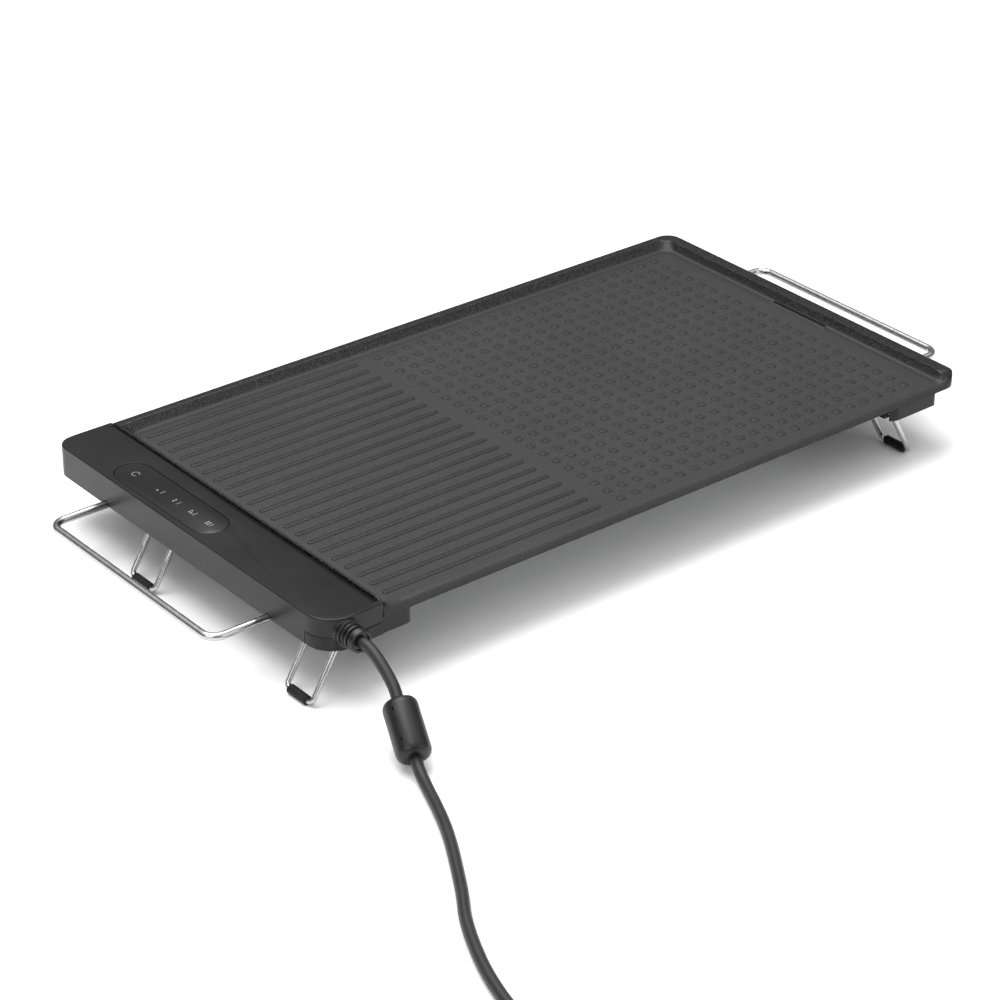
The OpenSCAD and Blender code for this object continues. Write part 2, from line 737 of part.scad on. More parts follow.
module end_shell() {
    intersection() {
        plate_of(body_bottom, plate_bottom - 0.2) end_outline(0);
        union() {
            difference() {
                plate_of(body_bottom, plate_bottom) end_outline(0);
                plate_of(body_bottom + cover_wall, plate_bottom + 1) end_outline(cover_wall);
            }
            for (i = [2, 3]) leg_bay(legs[i], bay_skin);
            for (s = [-1, 1]) arm_roof(handle_right_x - 19, end_x1, s);
            for (i = [3 : 6]) translate([mount_points[i][0], mount_points[i][1], body_bottom])
                cylinder(h = plate_bottom - body_bottom, d = 7);
        }
    }
}

module bracket_screws() {
    color([0.2, 0.2, 0.2]) for (i = [3 : 6])
        screw(mount_points[i][0], mount_points[i][1], body_bottom + 2.2, 11.4, 3);
}

// Two steel strips that the tray slides on
module tray_rails() {
    color([0.72, 0.73, 0.75]) for (y = [tray_y[0] + 6, tray_y[1] - 12])
        block([tray_x[0] + 2, y, body_bottom + cover_wall], [end_x1 - 2.5, y + 6, tray_z[0] - 0.1]);
}

// Shallow steel tray under the drain slot, with a finger lip at its outer end
module drip_tray() {
    color([0.75, 0.76, 0.78]) {
        difference() {
            block([tray_x[0], tray_y[0], tray_z[0]], [tray_x[1], tray_y[1], tray_z[1]]);
            block([tray_x[0] + 1, tray_y[0] + 1, tray_z[0] + 1],
                [tray_x[1] - 1, tray_y[1] - 1, tray_z[1] + 1]);
        }
        block([tray_x[1] - 0.1, -22, tray_z[1] - 1.2], [right_x - 0.5, 8, tray_z[1]]);
    }
}

// ---- legs and handles ----

// A quarter bend across Y, in the plane of a leg; turn picks the quarter
module leg_corner(y, z, radius, turn) {
    translate([0, y, z]) rotate([0, 90, 0]) rotate([0, 0, turn])
        rotate_extrude(angle = 90) translate([radius, 0]) circle(d = leg_wire);
}

// One leg, hanging straight down from its pivot at the origin
module leg_frame() {
    h = leg_span / 2;
    top = leg_wire / 2 + 0.15;
    drop = leg_length - leg_bend;
    for (s = [-1, 1]) {
        bar([0, s * h, -top], [0, s * h, -drop], leg_wire);
        bar([0, s * (h - top), 0], [0, s * (h - leg_wire / 2 - stub), 0], leg_wire);
        leg_corner(s * (h - top), -top, top, s > 0 ? 90 : 180);
        leg_corner(s * (h - leg_bend), -drop, leg_bend, s > 0 ? 0 : -90);
    }
    bar([0, -h + leg_bend, -leg_length], [0, h - leg_bend, -leg_length], leg_wire);
}

module sleeve_shape() {
    difference() {
        bar([0, leg_bend - leg_span / 2, -leg_length], [0, leg_span / 2 - leg_bend, -leg_length],
            sleeve_diameter);
        bar([0, -leg_span, -leg_length], [0, leg_span, -leg_length], leg_wire);
    }
}

// A sleeve in place, with its sole cut flat on the table
module foot(leg) {
    color([0.05, 0.05, 0.05]) difference() {
        placed(leg) sleeve_shape();
        block([leg[0] - 40, leg[1] - 20, -5], [leg[0] + 40, leg[1] + 20, 0]);
    }
}

module placed(leg) {
    translate([leg[0], leg[1], pivot_z]) rotate([0, -leg[2] * leg_splay, 0]) children();
}

module leg_front_left() { color([0.8, 0.8, 0.8]) placed(legs[0]) leg_frame(); }
module leg_rear_left() { color([0.8, 0.8, 0.8]) placed(legs[1]) leg_frame(); }
module leg_front_right() { color([0.8, 0.8, 0.8]) placed(legs[2]) leg_frame(); }
module leg_rear_right() { color([0.8, 0.8, 0.8]) placed(legs[3]) leg_frame(); }
module foot_sleeve_front_left() { foot(legs[0]); }
module foot_sleeve_rear_left() { foot(legs[1]); }
module foot_sleeve_front_right() { foot(legs[2]); }
module foot_sleeve_rear_right() { foot(legs[3]); }

// A handle that reaches to +X, with its pivot at x
module handle_frame(x) {
    h = handle_span / 2;
    for (s = [-1, 1]) {
        bar([x, s * h, handle_z], [handle_bar - handle_bend, s * h, handle_z], handle_wire);
        bar([x, s * h, handle_z], [x, s * (h - handle_wire / 2 - handle_stub), handle_z], handle_wire);
        translate([x, s * h, handle_z]) sphere(d = handle_wire, $fn = 32);
        translate([handle_bar - handle_bend, s * (h - handle_bend), handle_z])
            rotate([0, 0, s > 0 ? 0 : -90]) rotate_extrude(angle = 90)
                translate([handle_bend, 0]) circle(d = handle_wire);
    }
    bar([handle_bar, handle_bend - h, handle_z], [handle_bar, h - handle_bend, handle_z], handle_wire);
}

module handle_right() { color([0.8, 0.8, 0.8]) handle_frame(handle_right_x); }
module handle_left() { color([0.8, 0.8, 0.8]) mirror([1, 0, 0]) handle_frame(-handle_left_x); }

// ---- mains lead ----

// Ribbed, slightly tapered strain relief in the front wall
module cord_gland() {
    profile = [
        [cord_diameter / 2, 0], [5.8, 0], [5.8, 2], [8.7, 2], [8.7, 4], [7.6, 4], [7.5, 6],
        [6, 6], [6, 7.2], [7.4, 7.2], [7.3, 9.2], [5.9, 9.2], [5.9, 10.4], [7.2, 10.4],
        [7.1, 15], [5.2, 15], [5, 13.6], [cord_diameter / 2, 13.6]
    ];
    color([0.05, 0.05, 0.05]) {
        translate([lens_x, front_y + 2, gland_z]) rotate([90, 0, 0]) rotate_extrude() polygon(profile);
        difference() {
            translate([lens_x, front_y + 8.5, gland_z]) rotate([90, 0, 0]) cylinder(h = 6.5, d = 10);
            translate([lens_x, front_y + 9, gland_z]) rotate([90, 0, 0])
                cylinder(h = 8, d = cord_diameter);
            block([lens_x - 9, front_y + 1, body_bottom], [lens_x + 9, front_y + 10, bay_top + 1.3]);
        }
    }
}

module cord_inner_end() {
    color([0.06, 0.06, 0.06])
        bar([lens_x, -106, gland_z], [lens_x, front_y, gland_z], cord_diameter);
}

module cord_clamp() {
    color([0.85, 0.85, 0.8]) difference() {
        block([lens_x - 9, -119, bay_top + bay_skin], [lens_x + 9, -111, gland_z + 6]);
        translate([lens_x, -120, gland_z]) rotate([-90, 0, 0]) cylinder(h = 10, d = cord_diameter);
    }
}

function unit(v) = v / norm(v);
function heading(p, i) = unit(p[min(i + 1, len(p) - 1)] - p[max(i - 1, 0)]);
// A point between p[i] and p[i + 1], on a smooth curve through all the points
function between(p, i, t) =
    let (a = p[max(i - 1, 0)], b = p[i], c = p[i + 1], d = p[min(i + 2, len(p) - 1)])
    b + t * (c - a) / 2 + t * t * (a - 2.5 * b + 2 * c - d / 2)
        + t * t * t * (1.5 * b - a / 2 - 1.5 * c + d / 2);
function smooth(p, n) = [
    for (i = [0 : len(p) - 2]) for (k = [0 : n - 1]) between(p, i, k / n), p[len(p) - 1]
];

// A tube along the points: one ring of corners at each, and a cap at both ends
module swept_tube(p, diameter) {
    sides = 10;
    rings = [for (i = [0 : len(p) - 1])
        let (t = heading(p, i), u = unit(cross(t, [0, 0, 1])), v = cross(u, t))
        for (k = [0 : sides - 1])
            p[i] + diameter / 2 * (cos(360 * k / sides) * u + sin(360 * k / sides) * v)];
    last = (len(p) - 1) * sides;
    polyhedron(rings, concat(
        [for (i = [0 : len(p) - 2]) for (k = [0 : sides - 1]) let (n = (k + 1) % sides)
            [i * sides + k, i * sides + n, (i + 1) * sides + n, (i + 1) * sides + k]],
        [[for (k = [sides - 1 : -1 : 0]) k]],
        [[for (k = [0 : sides - 1]) last + k]]
    ));
}

module power_cord() {
    color([0.06, 0.06, 0.06]) swept_tube(smooth(route, 3), cord_diameter);
}

module plug_lead() {
    color([0.06, 0.06, 0.06]) swept_tube(smooth(tail, 3), cord_diameter);
}

// Moulded cover of the suppression choke, round at both ends
module ferrite_choke() {
    r = choke_diameter / 2;
    h = choke_length / 2;
    soft = 4;
    tilt = acos(choke_run[2] / norm(choke_run));
    color([0.05, 0.05, 0.05]) translate(choke_middle)
        rotate([0, tilt, atan2(choke_run[1], choke_run[0])]) rotate_extrude() difference() {
            union() {
                translate([0, -h]) square([r - soft, 2 * h]);
                translate([0, soft - h]) square([r, 2 * (h - soft)]);
                for (s = [-1, 1]) translate([r - soft, s * (h - soft)]) circle(soft);
            }
            translate([-r, -h - 1]) square([r + cord_diameter / 2 + 0.4, 2 * h + 2]);
        }
}

// The stored turns, as one ring: three turns below and two in the hollows above them
module cord_coil() {
    r = cord_diameter / 2;
    top = coil_base + cord_diameter * (1 + sqrt(3) / 2);
    color([0.07, 0.07, 0.07]) translate([coil_middle[0], coil_middle[1], 0]) rotate_extrude($fn = 96)
        polygon([[coil_turns[0] - r, coil_base], [coil_turns[2] + r, coil_base],
            [coil_turns[2] + r, coil_base + 5], [coil_turns[2], top],
            [coil_turns[0], top], [coil_turns[0] - r, coil_base + 5]]);
}

module coil_tie() {
    r = cord_diameter / 2;
    top = coil_base + cord_diameter * (1 + sqrt(3) / 2);
    color([0.1, 0.1, 0.1]) translate([coil_middle[0], coil_middle[1] - coil_turns[1], 0]) difference() {
        block([-6, -11.7, 0], [6, 12.2, top + 0.8]);
        block([-7, -10.9, coil_base - 0.02], [7, 11.4, top + 0.1]);
    }
}

// The plug lies on its side; its own frame has the pins along +X
module at_plug() {
    translate(tail[len(tail) - 1]) rotate([0, 0, plug_turn]) children();
}

module plug_body() {
    color([0.05, 0.05, 0.05]) at_plug() {
        difference() {
            union() {
                rotate([0, 90, 0]) rotate_extrude() polygon([[0, 0], [4.6, 0], [6.5, 16], [0, 16]]);
                translate([14, 0, -9.8]) linear_extrude(19.6) outline([0, 24], [-16, 16], [9, 9, 3, 3]);
            }
            translate([28, -20, 7.8]) cube([2, 40, 4]);
        }
    }
}

module plug_pins() {
    color([0.8, 0.75, 0.5]) at_plug() {
        for (s = [-1, 1]) translate([38, s * 7, 3]) rotate([s * 30, 0, 0])
            translate([0, -0.8, -3.15]) cube([17, 1.6, 6.3]);
        translate([38, -0.8, -8.6]) cube([19, 1.6, 6.3]);
    }
}

griddle_plate();
housing_top_cover();
housing_bottom_cover();
plate_seal();
touch_lens();
touch_board();
touch_springs();
indicator_leds();
touch_cable();
control_board();
heater_relay();
supply_capacitor();
terminal_block();
board_screws();
cover_screws();
housing_mount_screws();
heating_element();
element_pins();
element_insulators();
element_clamps();
clamp_screws();
temperature_sensor();
thermal_fuse();
inner_wiring();
heat_shield();
shield_screws();
end_bracket();
bracket_screws();
tray_rails();
drip_tray();
leg_front_left();
leg_rear_left();
leg_front_right();
leg_rear_right();
foot_sleeve_front_left();
foot_sleeve_rear_left();
foot_sleeve_front_right();
foot_sleeve_rear_right();
handle_left();
handle_right();
cord_gland();
cord_inner_end();
cord_clamp();
power_cord();
ferrite_choke();
cord_coil();
coil_tie();
plug_lead();
plug_body();
plug_pins();
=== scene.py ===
"""Electric griddle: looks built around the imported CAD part, laid out as an add-on and run as a script."""
import json
import math

import bmesh
import bpy
from mathutils import Matrix, Vector


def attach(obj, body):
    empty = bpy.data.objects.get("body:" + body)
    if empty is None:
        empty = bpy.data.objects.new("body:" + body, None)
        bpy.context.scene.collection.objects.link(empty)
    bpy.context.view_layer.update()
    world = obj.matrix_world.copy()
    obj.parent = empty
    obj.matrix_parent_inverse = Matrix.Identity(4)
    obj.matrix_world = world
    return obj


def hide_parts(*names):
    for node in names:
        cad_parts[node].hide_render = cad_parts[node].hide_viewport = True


bl_info = {
    "name": "Electric griddle",
    "version": (1, 0, 0),
    "blender": (4, 5, 0),
    "location": "View3D > Sidebar > Griddle",
    "description": "Builds an electric griddle and its studio on the packed part",
    "category": "Object",
}

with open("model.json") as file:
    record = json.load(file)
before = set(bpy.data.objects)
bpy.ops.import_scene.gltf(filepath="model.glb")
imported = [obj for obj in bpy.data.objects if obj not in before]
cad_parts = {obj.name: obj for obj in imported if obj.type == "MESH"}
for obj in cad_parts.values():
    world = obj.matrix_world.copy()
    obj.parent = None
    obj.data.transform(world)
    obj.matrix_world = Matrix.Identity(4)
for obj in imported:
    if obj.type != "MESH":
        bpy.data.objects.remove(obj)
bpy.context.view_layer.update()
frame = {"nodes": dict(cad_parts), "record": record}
BODY = "griddle_body"

# Heights and sides of the whole body in millimetres
LEFT, FRONT, BACK = -253.5, -140, 140
TOP, SPLIT, UNDER = 53, 41, 32.5  # top of rims and cover, joint between the covers, their underside
COOKING = 48  # the cooking surface
RIM_FOOT = 43.5  # lower edge of the plate's rims


def mm(*values):
    """Millimetres to a vector in metres."""
    return Vector([v / 1000 for v in values])


# ---- shader expressions ----

class Socket:
    """One output of a node. Arithmetic on it adds Math nodes."""

    def __init__(self, graph, link):
        self.graph, self.link = graph, link

    def math(self, operation, second):
        return self.graph.node("ShaderNodeMath", {"operation": operation}, {0: self, 1: second})

    def __add__(self, other):
        return self.math("ADD", other)

    def __sub__(self, other):
        return self.math("SUBTRACT", other)

    def __mul__(self, other):
        return self.math("MULTIPLY", other)

    def most(self, other):
        return self.math("MAXIMUM", other)

    def ease(self, low, high):
        """0 below low, 1 above high, smooth between."""
        return self.graph.node("MapRange", {"interpolation_type": "SMOOTHSTEP"},
                               {0: self, 1: low, 2: high, 3: 0.0, 4: 1.0})


class Graph:
    """A node tree that adds any node with one call."""

    def __init__(self, tree):
        self.tree = tree

    def node(self, kind, settings=None, values=None, out=0):
        made = self.tree.nodes.new(kind if "Node" in kind else "ShaderNode" + kind)
        for key, value in (settings or {}).items():
            if key == "stops":
                while len(made.color_ramp.elements) < len(value):
                    made.color_ramp.elements.new(1.0)
                for element, (place, colour) in zip(made.color_ramp.elements, value):
                    element.position, element.color = place, colour
            else:
                setattr(made, key, value)
        for key, value in (values or {}).items():
            if isinstance(value, Socket):
                self.tree.links.new(value.link, made.inputs[key])
            else:
                made.inputs[key].default_value = value
        return Socket(self, made.outputs[out])

    def place(self, scale=(1, 1, 1)):
        """Object coordinates in metres, scaled."""
        here = self.node("TexCoord", out=3)
        return self.node("Mapping", {"vector_type": "TEXTURE"},
                         {"Vector": here, "Scale": [1 / s for s in scale]})

    def axis(self, index):
        return self.node("SeparateXYZ", None, {0: self.node("TexCoord", out=3)}, out=index)

    def noise(self, scale, detail=3.0, rough=0.5, where=None):
        return self.node("TexNoise", None, {"Vector": where or self.place(), "Scale": scale,
                                            "Detail": detail, "Roughness": rough})

    def cells(self, scale, feature="F1"):
        return self.node("TexVoronoi", {"feature": feature}, {"Vector": self.place(), "Scale": scale})

    def mix(self, share, low, high):
        """A colour between two colours."""
        low, high = [c if isinstance(c, Socket) else (*c[:3], 1) for c in (low, high)]
        return self.node("Mix", {"data_type": "RGBA"}, {0: share, 6: low, 7: high}, out=2)

    def bump(self, height, depth, strength=1.0, under=None):
        values = {"Height": height, "Distance": depth, "Strength": strength}
        if under:
            values["Normal"] = under
        return self.node("Bump", None, values)


FINISHES = {}


def finish(name, paint, **fixed):
    """A material by name. paint(graph) gives what is linked to the shader; fixed gives its numbers."""
    if name not in FINISHES:
        made = bpy.data.materials.new(name)
        made.use_nodes = True
        graph = Graph(made.node_tree)
        shader = made.node_tree.nodes["Principled BSDF"]
        for key, value in fixed.items():
            shader.inputs[key.replace("_", " ")].default_value = value
        for key, value in paint(graph).items():
            made.node_tree.links.new(value.link, shader.inputs[key])
        FINISHES[name] = made
    return FINISHES[name]


def moulded(name, dark, light, rough, grain=2600, depth=0.00003, level=0.5):
    """Spark-eroded plastic, rubber or paint: fine grain, faint clouds in colour and gloss."""
    def paint(g):
        cloud = g.noise(38, 4, 0.6).ease(0.3, 0.7)
        return {
            "Base Color": g.mix(cloud, dark, light),
            "Roughness": cloud * (rough[1] - rough[0]) + rough[0],
            "Normal": g.bump(g.noise(grain, 2, 0.6), depth, 0.6),
        }
    return finish(name, paint, Specular_IOR_Level=level)


def metal(name, dark, light, rough, scratch=(60, 900, 900)):
    """Drawn, rolled or plated metal with fine lines along one axis."""
    def paint(g):
        lines = g.noise(1.0, 3, 0.6, g.place(scratch))
        cloud = g.noise(90, 3, 0.5)
        return {
            "Base Color": g.mix(lines * 0.5 + cloud * 0.5, dark, light),
            "Roughness": cloud.ease(0.3, 0.75) * (rough[1] - rough[0]) + rough[0],
            "Normal": g.bump(lines, 0.000012, 0.5),
        }
    return finish(name, paint, Metallic=1.0)


def plate_coating():
    """Grey-black non-stick coating: fine orange peel, coarse sparkle where it is thick on the rims, and
    painted shade in the gutter at the rims' foot.
    """
    def paint(g):
        height = g.axis(2)
        rim = height.ease(0.0484, 0.0492)
        # Painted shade: a dark band at heights just under the cooking surface, in the gutter where the rims
        # rise and around the feet of the studs, ribs and drain bead
        gutter_shade = height.ease(0.04782, 0.04786) - height.ease(0.04790, 0.04799)
        peel = g.noise(900, 3, 0.65)
        specks = g.cells(1500).ease(0.10, 0.42)
        cloud = g.noise(14, 4, 0.55)
        flat = g.mix(cloud.ease(0.3, 0.7), look().plate_dark, look().plate_light)
        coarse = g.mix(specks, (0.10, 0.101, 0.104), (0.0035, 0.0035, 0.0038))
        # The painted shade darkens the coating in that band
        flat = g.mix(gutter_shade * 0.6, flat, (0.012, 0.012, 0.0125))
        grain = g.noise(850, 3, 0.75).ease(0.35, 0.7) * 0.7
        flat = g.mix(grain, flat, (0.016, 0.0161, 0.0166))
        return {
            "Base Color": g.mix(rim, flat, coarse),
            "Roughness": peel * 0.12 + 0.38 - rim * 0.12,
            "Normal": g.bump(g.noise(1200, 2, 0.6), 0.00026, 0.6, g.bump(peel, 0.00016, 0.5)),
        }
    return finish("plate coating", paint, Specular_IOR_Level=0.26)


def cover_plastic():
    """Near-black satin housing plastic with a fine spark-eroded grain."""
    def paint(g):
        cloud = g.noise(22, 4, 0.6)
        return {
            "Base Color": g.mix(cloud.ease(0.3, 0.7), look().cover_dark, look().cover_light),
            "Roughness": g.noise(60, 3, 0.6) * 0.10 + 0.28,
            "Normal": g.bump(g.noise(3200, 2, 0.6), 0.00004, 0.5),
        }
    return finish("cover plastic", paint, Specular_IOR_Level=0.3)


def lens_gloss():
    """Glossy black panel over the touch keys."""
    def paint(g):
        return {
            "Base Color": g.mix(g.noise(30, 3, 0.5), (0.006, 0.006, 0.007), (0.010, 0.010, 0.011)),
            "Roughness": g.noise(120, 4, 0.6) * 0.08 + 0.22,
            "Normal": g.bump(g.noise(2600, 2, 0.5), 0.00001, 0.3),
        }
    return finish("lens gloss", paint, Coat_Weight=0.15, Coat_Roughness=0.12,
                  Specular_IOR_Level=0.28)


def wire_steel():
    """Bright drawn wire: lines along both wires and bars, with slight polish marks."""
    def paint(g):
        along_x = g.noise(1.0, 3, 0.6, g.place((40, 2400, 2400)))
        along_y = g.noise(1.0, 3, 0.6, g.place((2400, 40, 2400)))
        marks = g.noise(260, 4, 0.7)
        return {
            "Base Color": g.mix(marks, (0.40, 0.40, 0.41), (0.56, 0.56, 0.57)),
            "Roughness": marks.ease(0.35, 0.7) * 0.10 + 0.17,
            "Normal": g.bump(along_x * 0.5 + along_y * 0.5, 0.000006, 0.35),
        }
    return finish("bright wire", paint, Metallic=1.0)


def element_steel():
    """Stainless tube that has turned straw, blue and brown with heat."""
    def paint(g):
        heat = g.noise(24, 4, 0.6)
        stops = [(0.30, (0.30, 0.27, 0.22, 1)), (0.5, (0.22, 0.15, 0.08, 1)), (0.72, (0.10, 0.11, 0.16, 1))]
        ramp = g.node("ValToRGB", {"stops": stops}, {0: heat})
        return {"Base Color": ramp, "Roughness": heat * 0.2 + 0.3,
                "Normal": g.bump(g.noise(1800, 2, 0.6), 0.00002, 0.4)}
    return finish("heated steel", paint, Metallic=1.0)


def board_green():
    """Solder mask over copper tracks."""
    def paint(g):
        tracks = g.cells(420, "DISTANCE_TO_EDGE").ease(0.02, 0.06)
        pads = g.cells(300).ease(0.10, 0.16)
        mask = g.mix(tracks, (0.03, 0.20, 0.08), (0.012, 0.10, 0.045))
        return {
            "Base Color": g.mix(pads, (0.52, 0.50, 0.42), mask),
            "Roughness": pads * 0.12 + 0.22,
            "Normal": g.bump(tracks * 0.6 + pads * 0.4, 0.00005, 0.5),
        }
    return finish("board green", paint)


def cord_sheath():
    """Soft black sheath with a faint grain."""
    def paint(g):
        cloud = g.noise(70, 3, 0.5)
        return {
            "Base Color": g.mix(cloud, (0.012, 0.012, 0.013), (0.028, 0.028, 0.029)),
            "Roughness": cloud * 0.14 + 0.38,
            "Normal": g.bump(g.noise(1400, 3, 0.6), 0.00004, 0.5),
        }
    return finish("cord sheath", paint, Specular_IOR_Level=0.35)


def floor_paper():
    """Matt white paper."""
    def paint(g):
        return {"Base Color": g.mix(g.noise(3, 4, 0.5), (0.93, 0.93, 0.93), (0.95, 0.95, 0.95)),
                "Roughness": g.noise(60, 3, 0.5) * 0.1 + 0.8}
    return finish("studio paper", paint, Specular_IOR_Level=0.1)


# Darker tone, lighter tone and range of roughness, then what isn't as usual: grain, its depth, gloss level
MOULDED = {
    "black rubber": ((0.006, 0.006, 0.006), (0.014, 0.014, 0.014), (0.5, 0.68), 1800, 0.00006, 0.25),
    "black moulding": ((0.006, 0.006, 0.0065), (0.012, 0.012, 0.013), (0.30, 0.40), 2400, 0.00005, 0.36),
    "lower plastic": ((0.005, 0.005, 0.0055), (0.009, 0.009, 0.0095), (0.34, 0.46), 2200, 0.00004, 0.26),
    "pale plastic": ((0.62, 0.60, 0.54), (0.76, 0.75, 0.70), (0.35, 0.5)),
    "ceramic": ((0.66, 0.62, 0.54), (0.84, 0.82, 0.76), (0.55, 0.75), 1500, 0.00006),
    "relay blue": ((0.02, 0.06, 0.22), (0.03, 0.09, 0.30), (0.25, 0.4)),
    "terminal green": ((0.01, 0.20, 0.06), (0.02, 0.28, 0.09), (0.3, 0.45)),
    "capacitor yellow": ((0.60, 0.36, 0.02), (0.72, 0.45, 0.04), (0.25, 0.4)),
    "wire sleeve": ((0.32, 0.02, 0.02), (0.42, 0.04, 0.03), (0.4, 0.55)),
    "pale print": ((0.20, 0.205, 0.21), (0.25, 0.255, 0.26), (0.4, 0.5)),
}
# The same for metals, whose last value is how fine the lines are along each axis
METALS = {
    "zinc plate": ((0.50, 0.51, 0.54), (0.70, 0.71, 0.72), (0.28, 0.45)),
    "satin stainless": ((0.46, 0.46, 0.47), (0.64, 0.64, 0.65), (0.22, 0.34)),
    "aluminised sheet": ((0.40, 0.41, 0.42), (0.62, 0.63, 0.64), (0.34, 0.5), (20, 500, 500)),
    "black screw": ((0.03, 0.03, 0.032), (0.06, 0.06, 0.062), (0.3, 0.45)),
    "spring steel": ((0.45, 0.42, 0.34), (0.65, 0.62, 0.52), (0.2, 0.3)),
    "pin brass": ((0.52, 0.46, 0.30), (0.70, 0.63, 0.42), (0.2, 0.32)),
}


def plain(name):
    """A finish from the two tables."""
    if name in METALS:
        return metal(name, *METALS[name])
    return moulded(name, *MOULDED[name])


# ---- mesh helpers ----

def placed(name, data):
    """A new object in the scene."""
    made = bpy.data.objects.new(name, data)
    bpy.context.collection.objects.link(made)
    return made


def bare(name, points, faces):
    """A mesh object that is no piece yet: a host, a template or a cutter."""
    data = bpy.data.meshes.new(name)
    data.from_pydata([tuple(p) for p in points], [], faces)
    return placed(name, data)


def face_outward(data, merge=0.0):
    """Turns all faces outwards, after joining points nearer than merge."""
    b = bmesh.new()
    b.from_mesh(data)
    if merge:
        bmesh.ops.remove_doubles(b, verts=b.verts, dist=merge)
    bmesh.ops.recalc_face_normals(b, faces=b.faces)
    b.to_mesh(data)
    b.free()


def piece(name, points, faces, material, body=BODY, slot=None, crease=35, outward=False):
    """A mesh object at the origin that rides on a body."""
    made = bare(name, points, faces)
    if outward:
        face_outward(made.data, 1e-7)
    return dress(made, material, body, crease)


def dress(made, material, body=BODY, crease=35):
    """Gives a mesh object its material, shading and body."""
    data = made.data
    data.materials.clear()
    data.materials.append(material)
    data.polygons.foreach_set("use_smooth", [True] * len(data.polygons))
    data.set_sharp_from_angle(angle=math.radians(crease))
    data.update()
    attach(made, body)
    return made


def join(parts):
    """Several (points, faces) as one."""
    points, faces = [], []
    for p, f in parts:
        start = len(points)
        points += [Vector(q) for q in p]
        faces += [[i + start for i in face] for face in f]
    return points, faces


def stacked(rings, caps=True):
    """Faces between rings of equally many points, each ring counter-clockwise seen from the last."""
    n = len(rings[0])
    points = [p for ring in rings for p in ring]
    faces = []
    for i in range(len(rings) - 1):
        for k in range(n):
            a, b = i * n + k, i * n + (k + 1) % n
            faces.append([a, b, b + n, a + n])
    if caps:
        faces += [list(range(n - 1, -1, -1)), [(len(rings) - 1) * n + k for k in range(n)]]
    return points, faces


def hooped(rings):
    """Rings joined one to the next, and the last one to the first."""
    points, faces = stacked(rings, caps=False)
    n, last = len(rings[0]), (len(rings) - 1) * len(rings[0])
    return points, faces + [[last + i, last + (i + 1) % n, (i + 1) % n, i] for i in range(n)]


def rounded_rectangle(x0, x1, y0, y1, radii, z, steps=8, sides=None):
    """Counter-clockwise ring from the front-left corner.

    radii and sides go front left, front right, back right, back left; sides are extra points along the
    straight that follows each corner, as shares of its length.
    """
    corners = [(x0, y0, 180, 1, 1), (x1, y0, 270, -1, 1), (x1, y1, 0, -1, -1), (x0, y1, 90, 1, -1)]
    ring, arcs = [], []
    for (x, y, start, sx, sy), r in zip(corners, radii):
        turns = [math.radians(start + 90 * i / steps) for i in range(steps + 1)]
        arcs.append([(x + sx * r + r * math.cos(a), y + sy * r + r * math.sin(a)) for a in turns])
    for i, arc in enumerate(arcs):
        ring += arc
        if sides and sides[i]:
            a, b = arc[-1], arcs[(i + 1) % 4][0]
            ring += [(a[0] + (b[0] - a[0]) * t, a[1] + (b[1] - a[1]) * t) for t in sides[i]]
    return [mm(px, py, z) for px, py in ring]


def smooth_path(points, steps):
    """A smooth curve through points, the same as the part's own route."""
    out = []
    for i in range(len(points) - 1):
        a, b = points[max(i - 1, 0)], points[i]
        c, d = points[i + 1], points[min(i + 2, len(points) - 1)]
        for k in range(steps):
            t = k / steps
            out.append(b + t * (c - a) / 2 + t * t * (a - 2.5 * b + 2 * c - d / 2)
                       + t ** 3 * (1.5 * b - a / 2 - 1.5 * c + d / 2))
    return out + [points[-1]]


def bent_wire(corners, radius, steps=8):
    """A path along corners, each inner one turned into an arc of radius(corner)."""
    out = [corners[0]]
    for before, here, after in zip(corners, corners[1:], corners[2:]):
        a, b = (before - here).normalized(), (after - here).normalized()
        turn = math.pi - a.angle(b)
        r = radius(here)
        cut = r * math.tan(turn / 2)
        centre = here + (a + b).normalized() * (r / math.cos(turn / 2))
        first, last = here + a * cut - centre, here + b * cut - centre
        first, last = first.normalized(), last.normalized()
        out += [centre + r * first.slerp(last, i / steps) for i in range(steps + 1)]
    return out + [corners[-1]]


def tube(path, radius, sides, round_ends=0.0):
    """A round tube along a path, with its ends rounded by round_ends."""
    tangents = [(after - before).normalized()
                for before, after in zip([path[0], *path[:-1]], [*path[1:], path[-1]])]
    side = tangents[0].orthogonal().normalized()
    turns = [2 * math.pi * k / sides for k in range(sides)]
    rings = []
    for i, (p, t) in enumerate(zip(path, tangents)):
        if i:
            side = tangents[i - 1].rotation_difference(t) @ side
            side = (side - side.dot(t) * t).normalized()
        other = t.cross(side)
        rings.append([p + radius * (math.cos(a) * side + math.sin(a) * other) for a in turns])
    if round_ends:
        def closing(ring, centre, way):
            return [[centre + (q - centre) * math.cos(a) + way * round_ends * (math.sin(a) - 1)
                     for q in ring] for a in (math.radians(60), math.radians(30))]
        ways = (-tangents[0], tangents[-1])
        low = closing(rings[0], path[0], ways[0])
        high = closing(rings[-1], path[-1], ways[1])
        for i, way in zip((0, -1), ways):
            rings[i] = [q - way * round_ends for q in rings[i]]
        rings = low + rings + high[::-1]
    return stacked(rings)


def turned(profile, origin, along, sides):
    """A closed turned shape. profile is (distance along, radius) in metres from end to end."""
    along = along.normalized()
    u = along.orthogonal().normalized()
    v = along.cross(u)
    turns = [2 * math.pi * k / sides for k in range(sides)]
    rings = [[origin + along * d + r * (math.cos(a) * u + math.sin(a) * v) for a in turns]
             for d, r in profile]
    return stacked(rings)


def turned_ring(profile, origin, along, sides):
    """A turned shape with a hole: profile is a closed loop of (distance along, radius) in millimetres."""
    loop = [(d / 1000, r / 1000) for d, r in [*profile, profile[0]]]
    points, faces = turned(loop, origin, along, sides)
    last = len(profile) * sides
    return points[:last], [[i % last for i in face] for face in faces[:-2]]


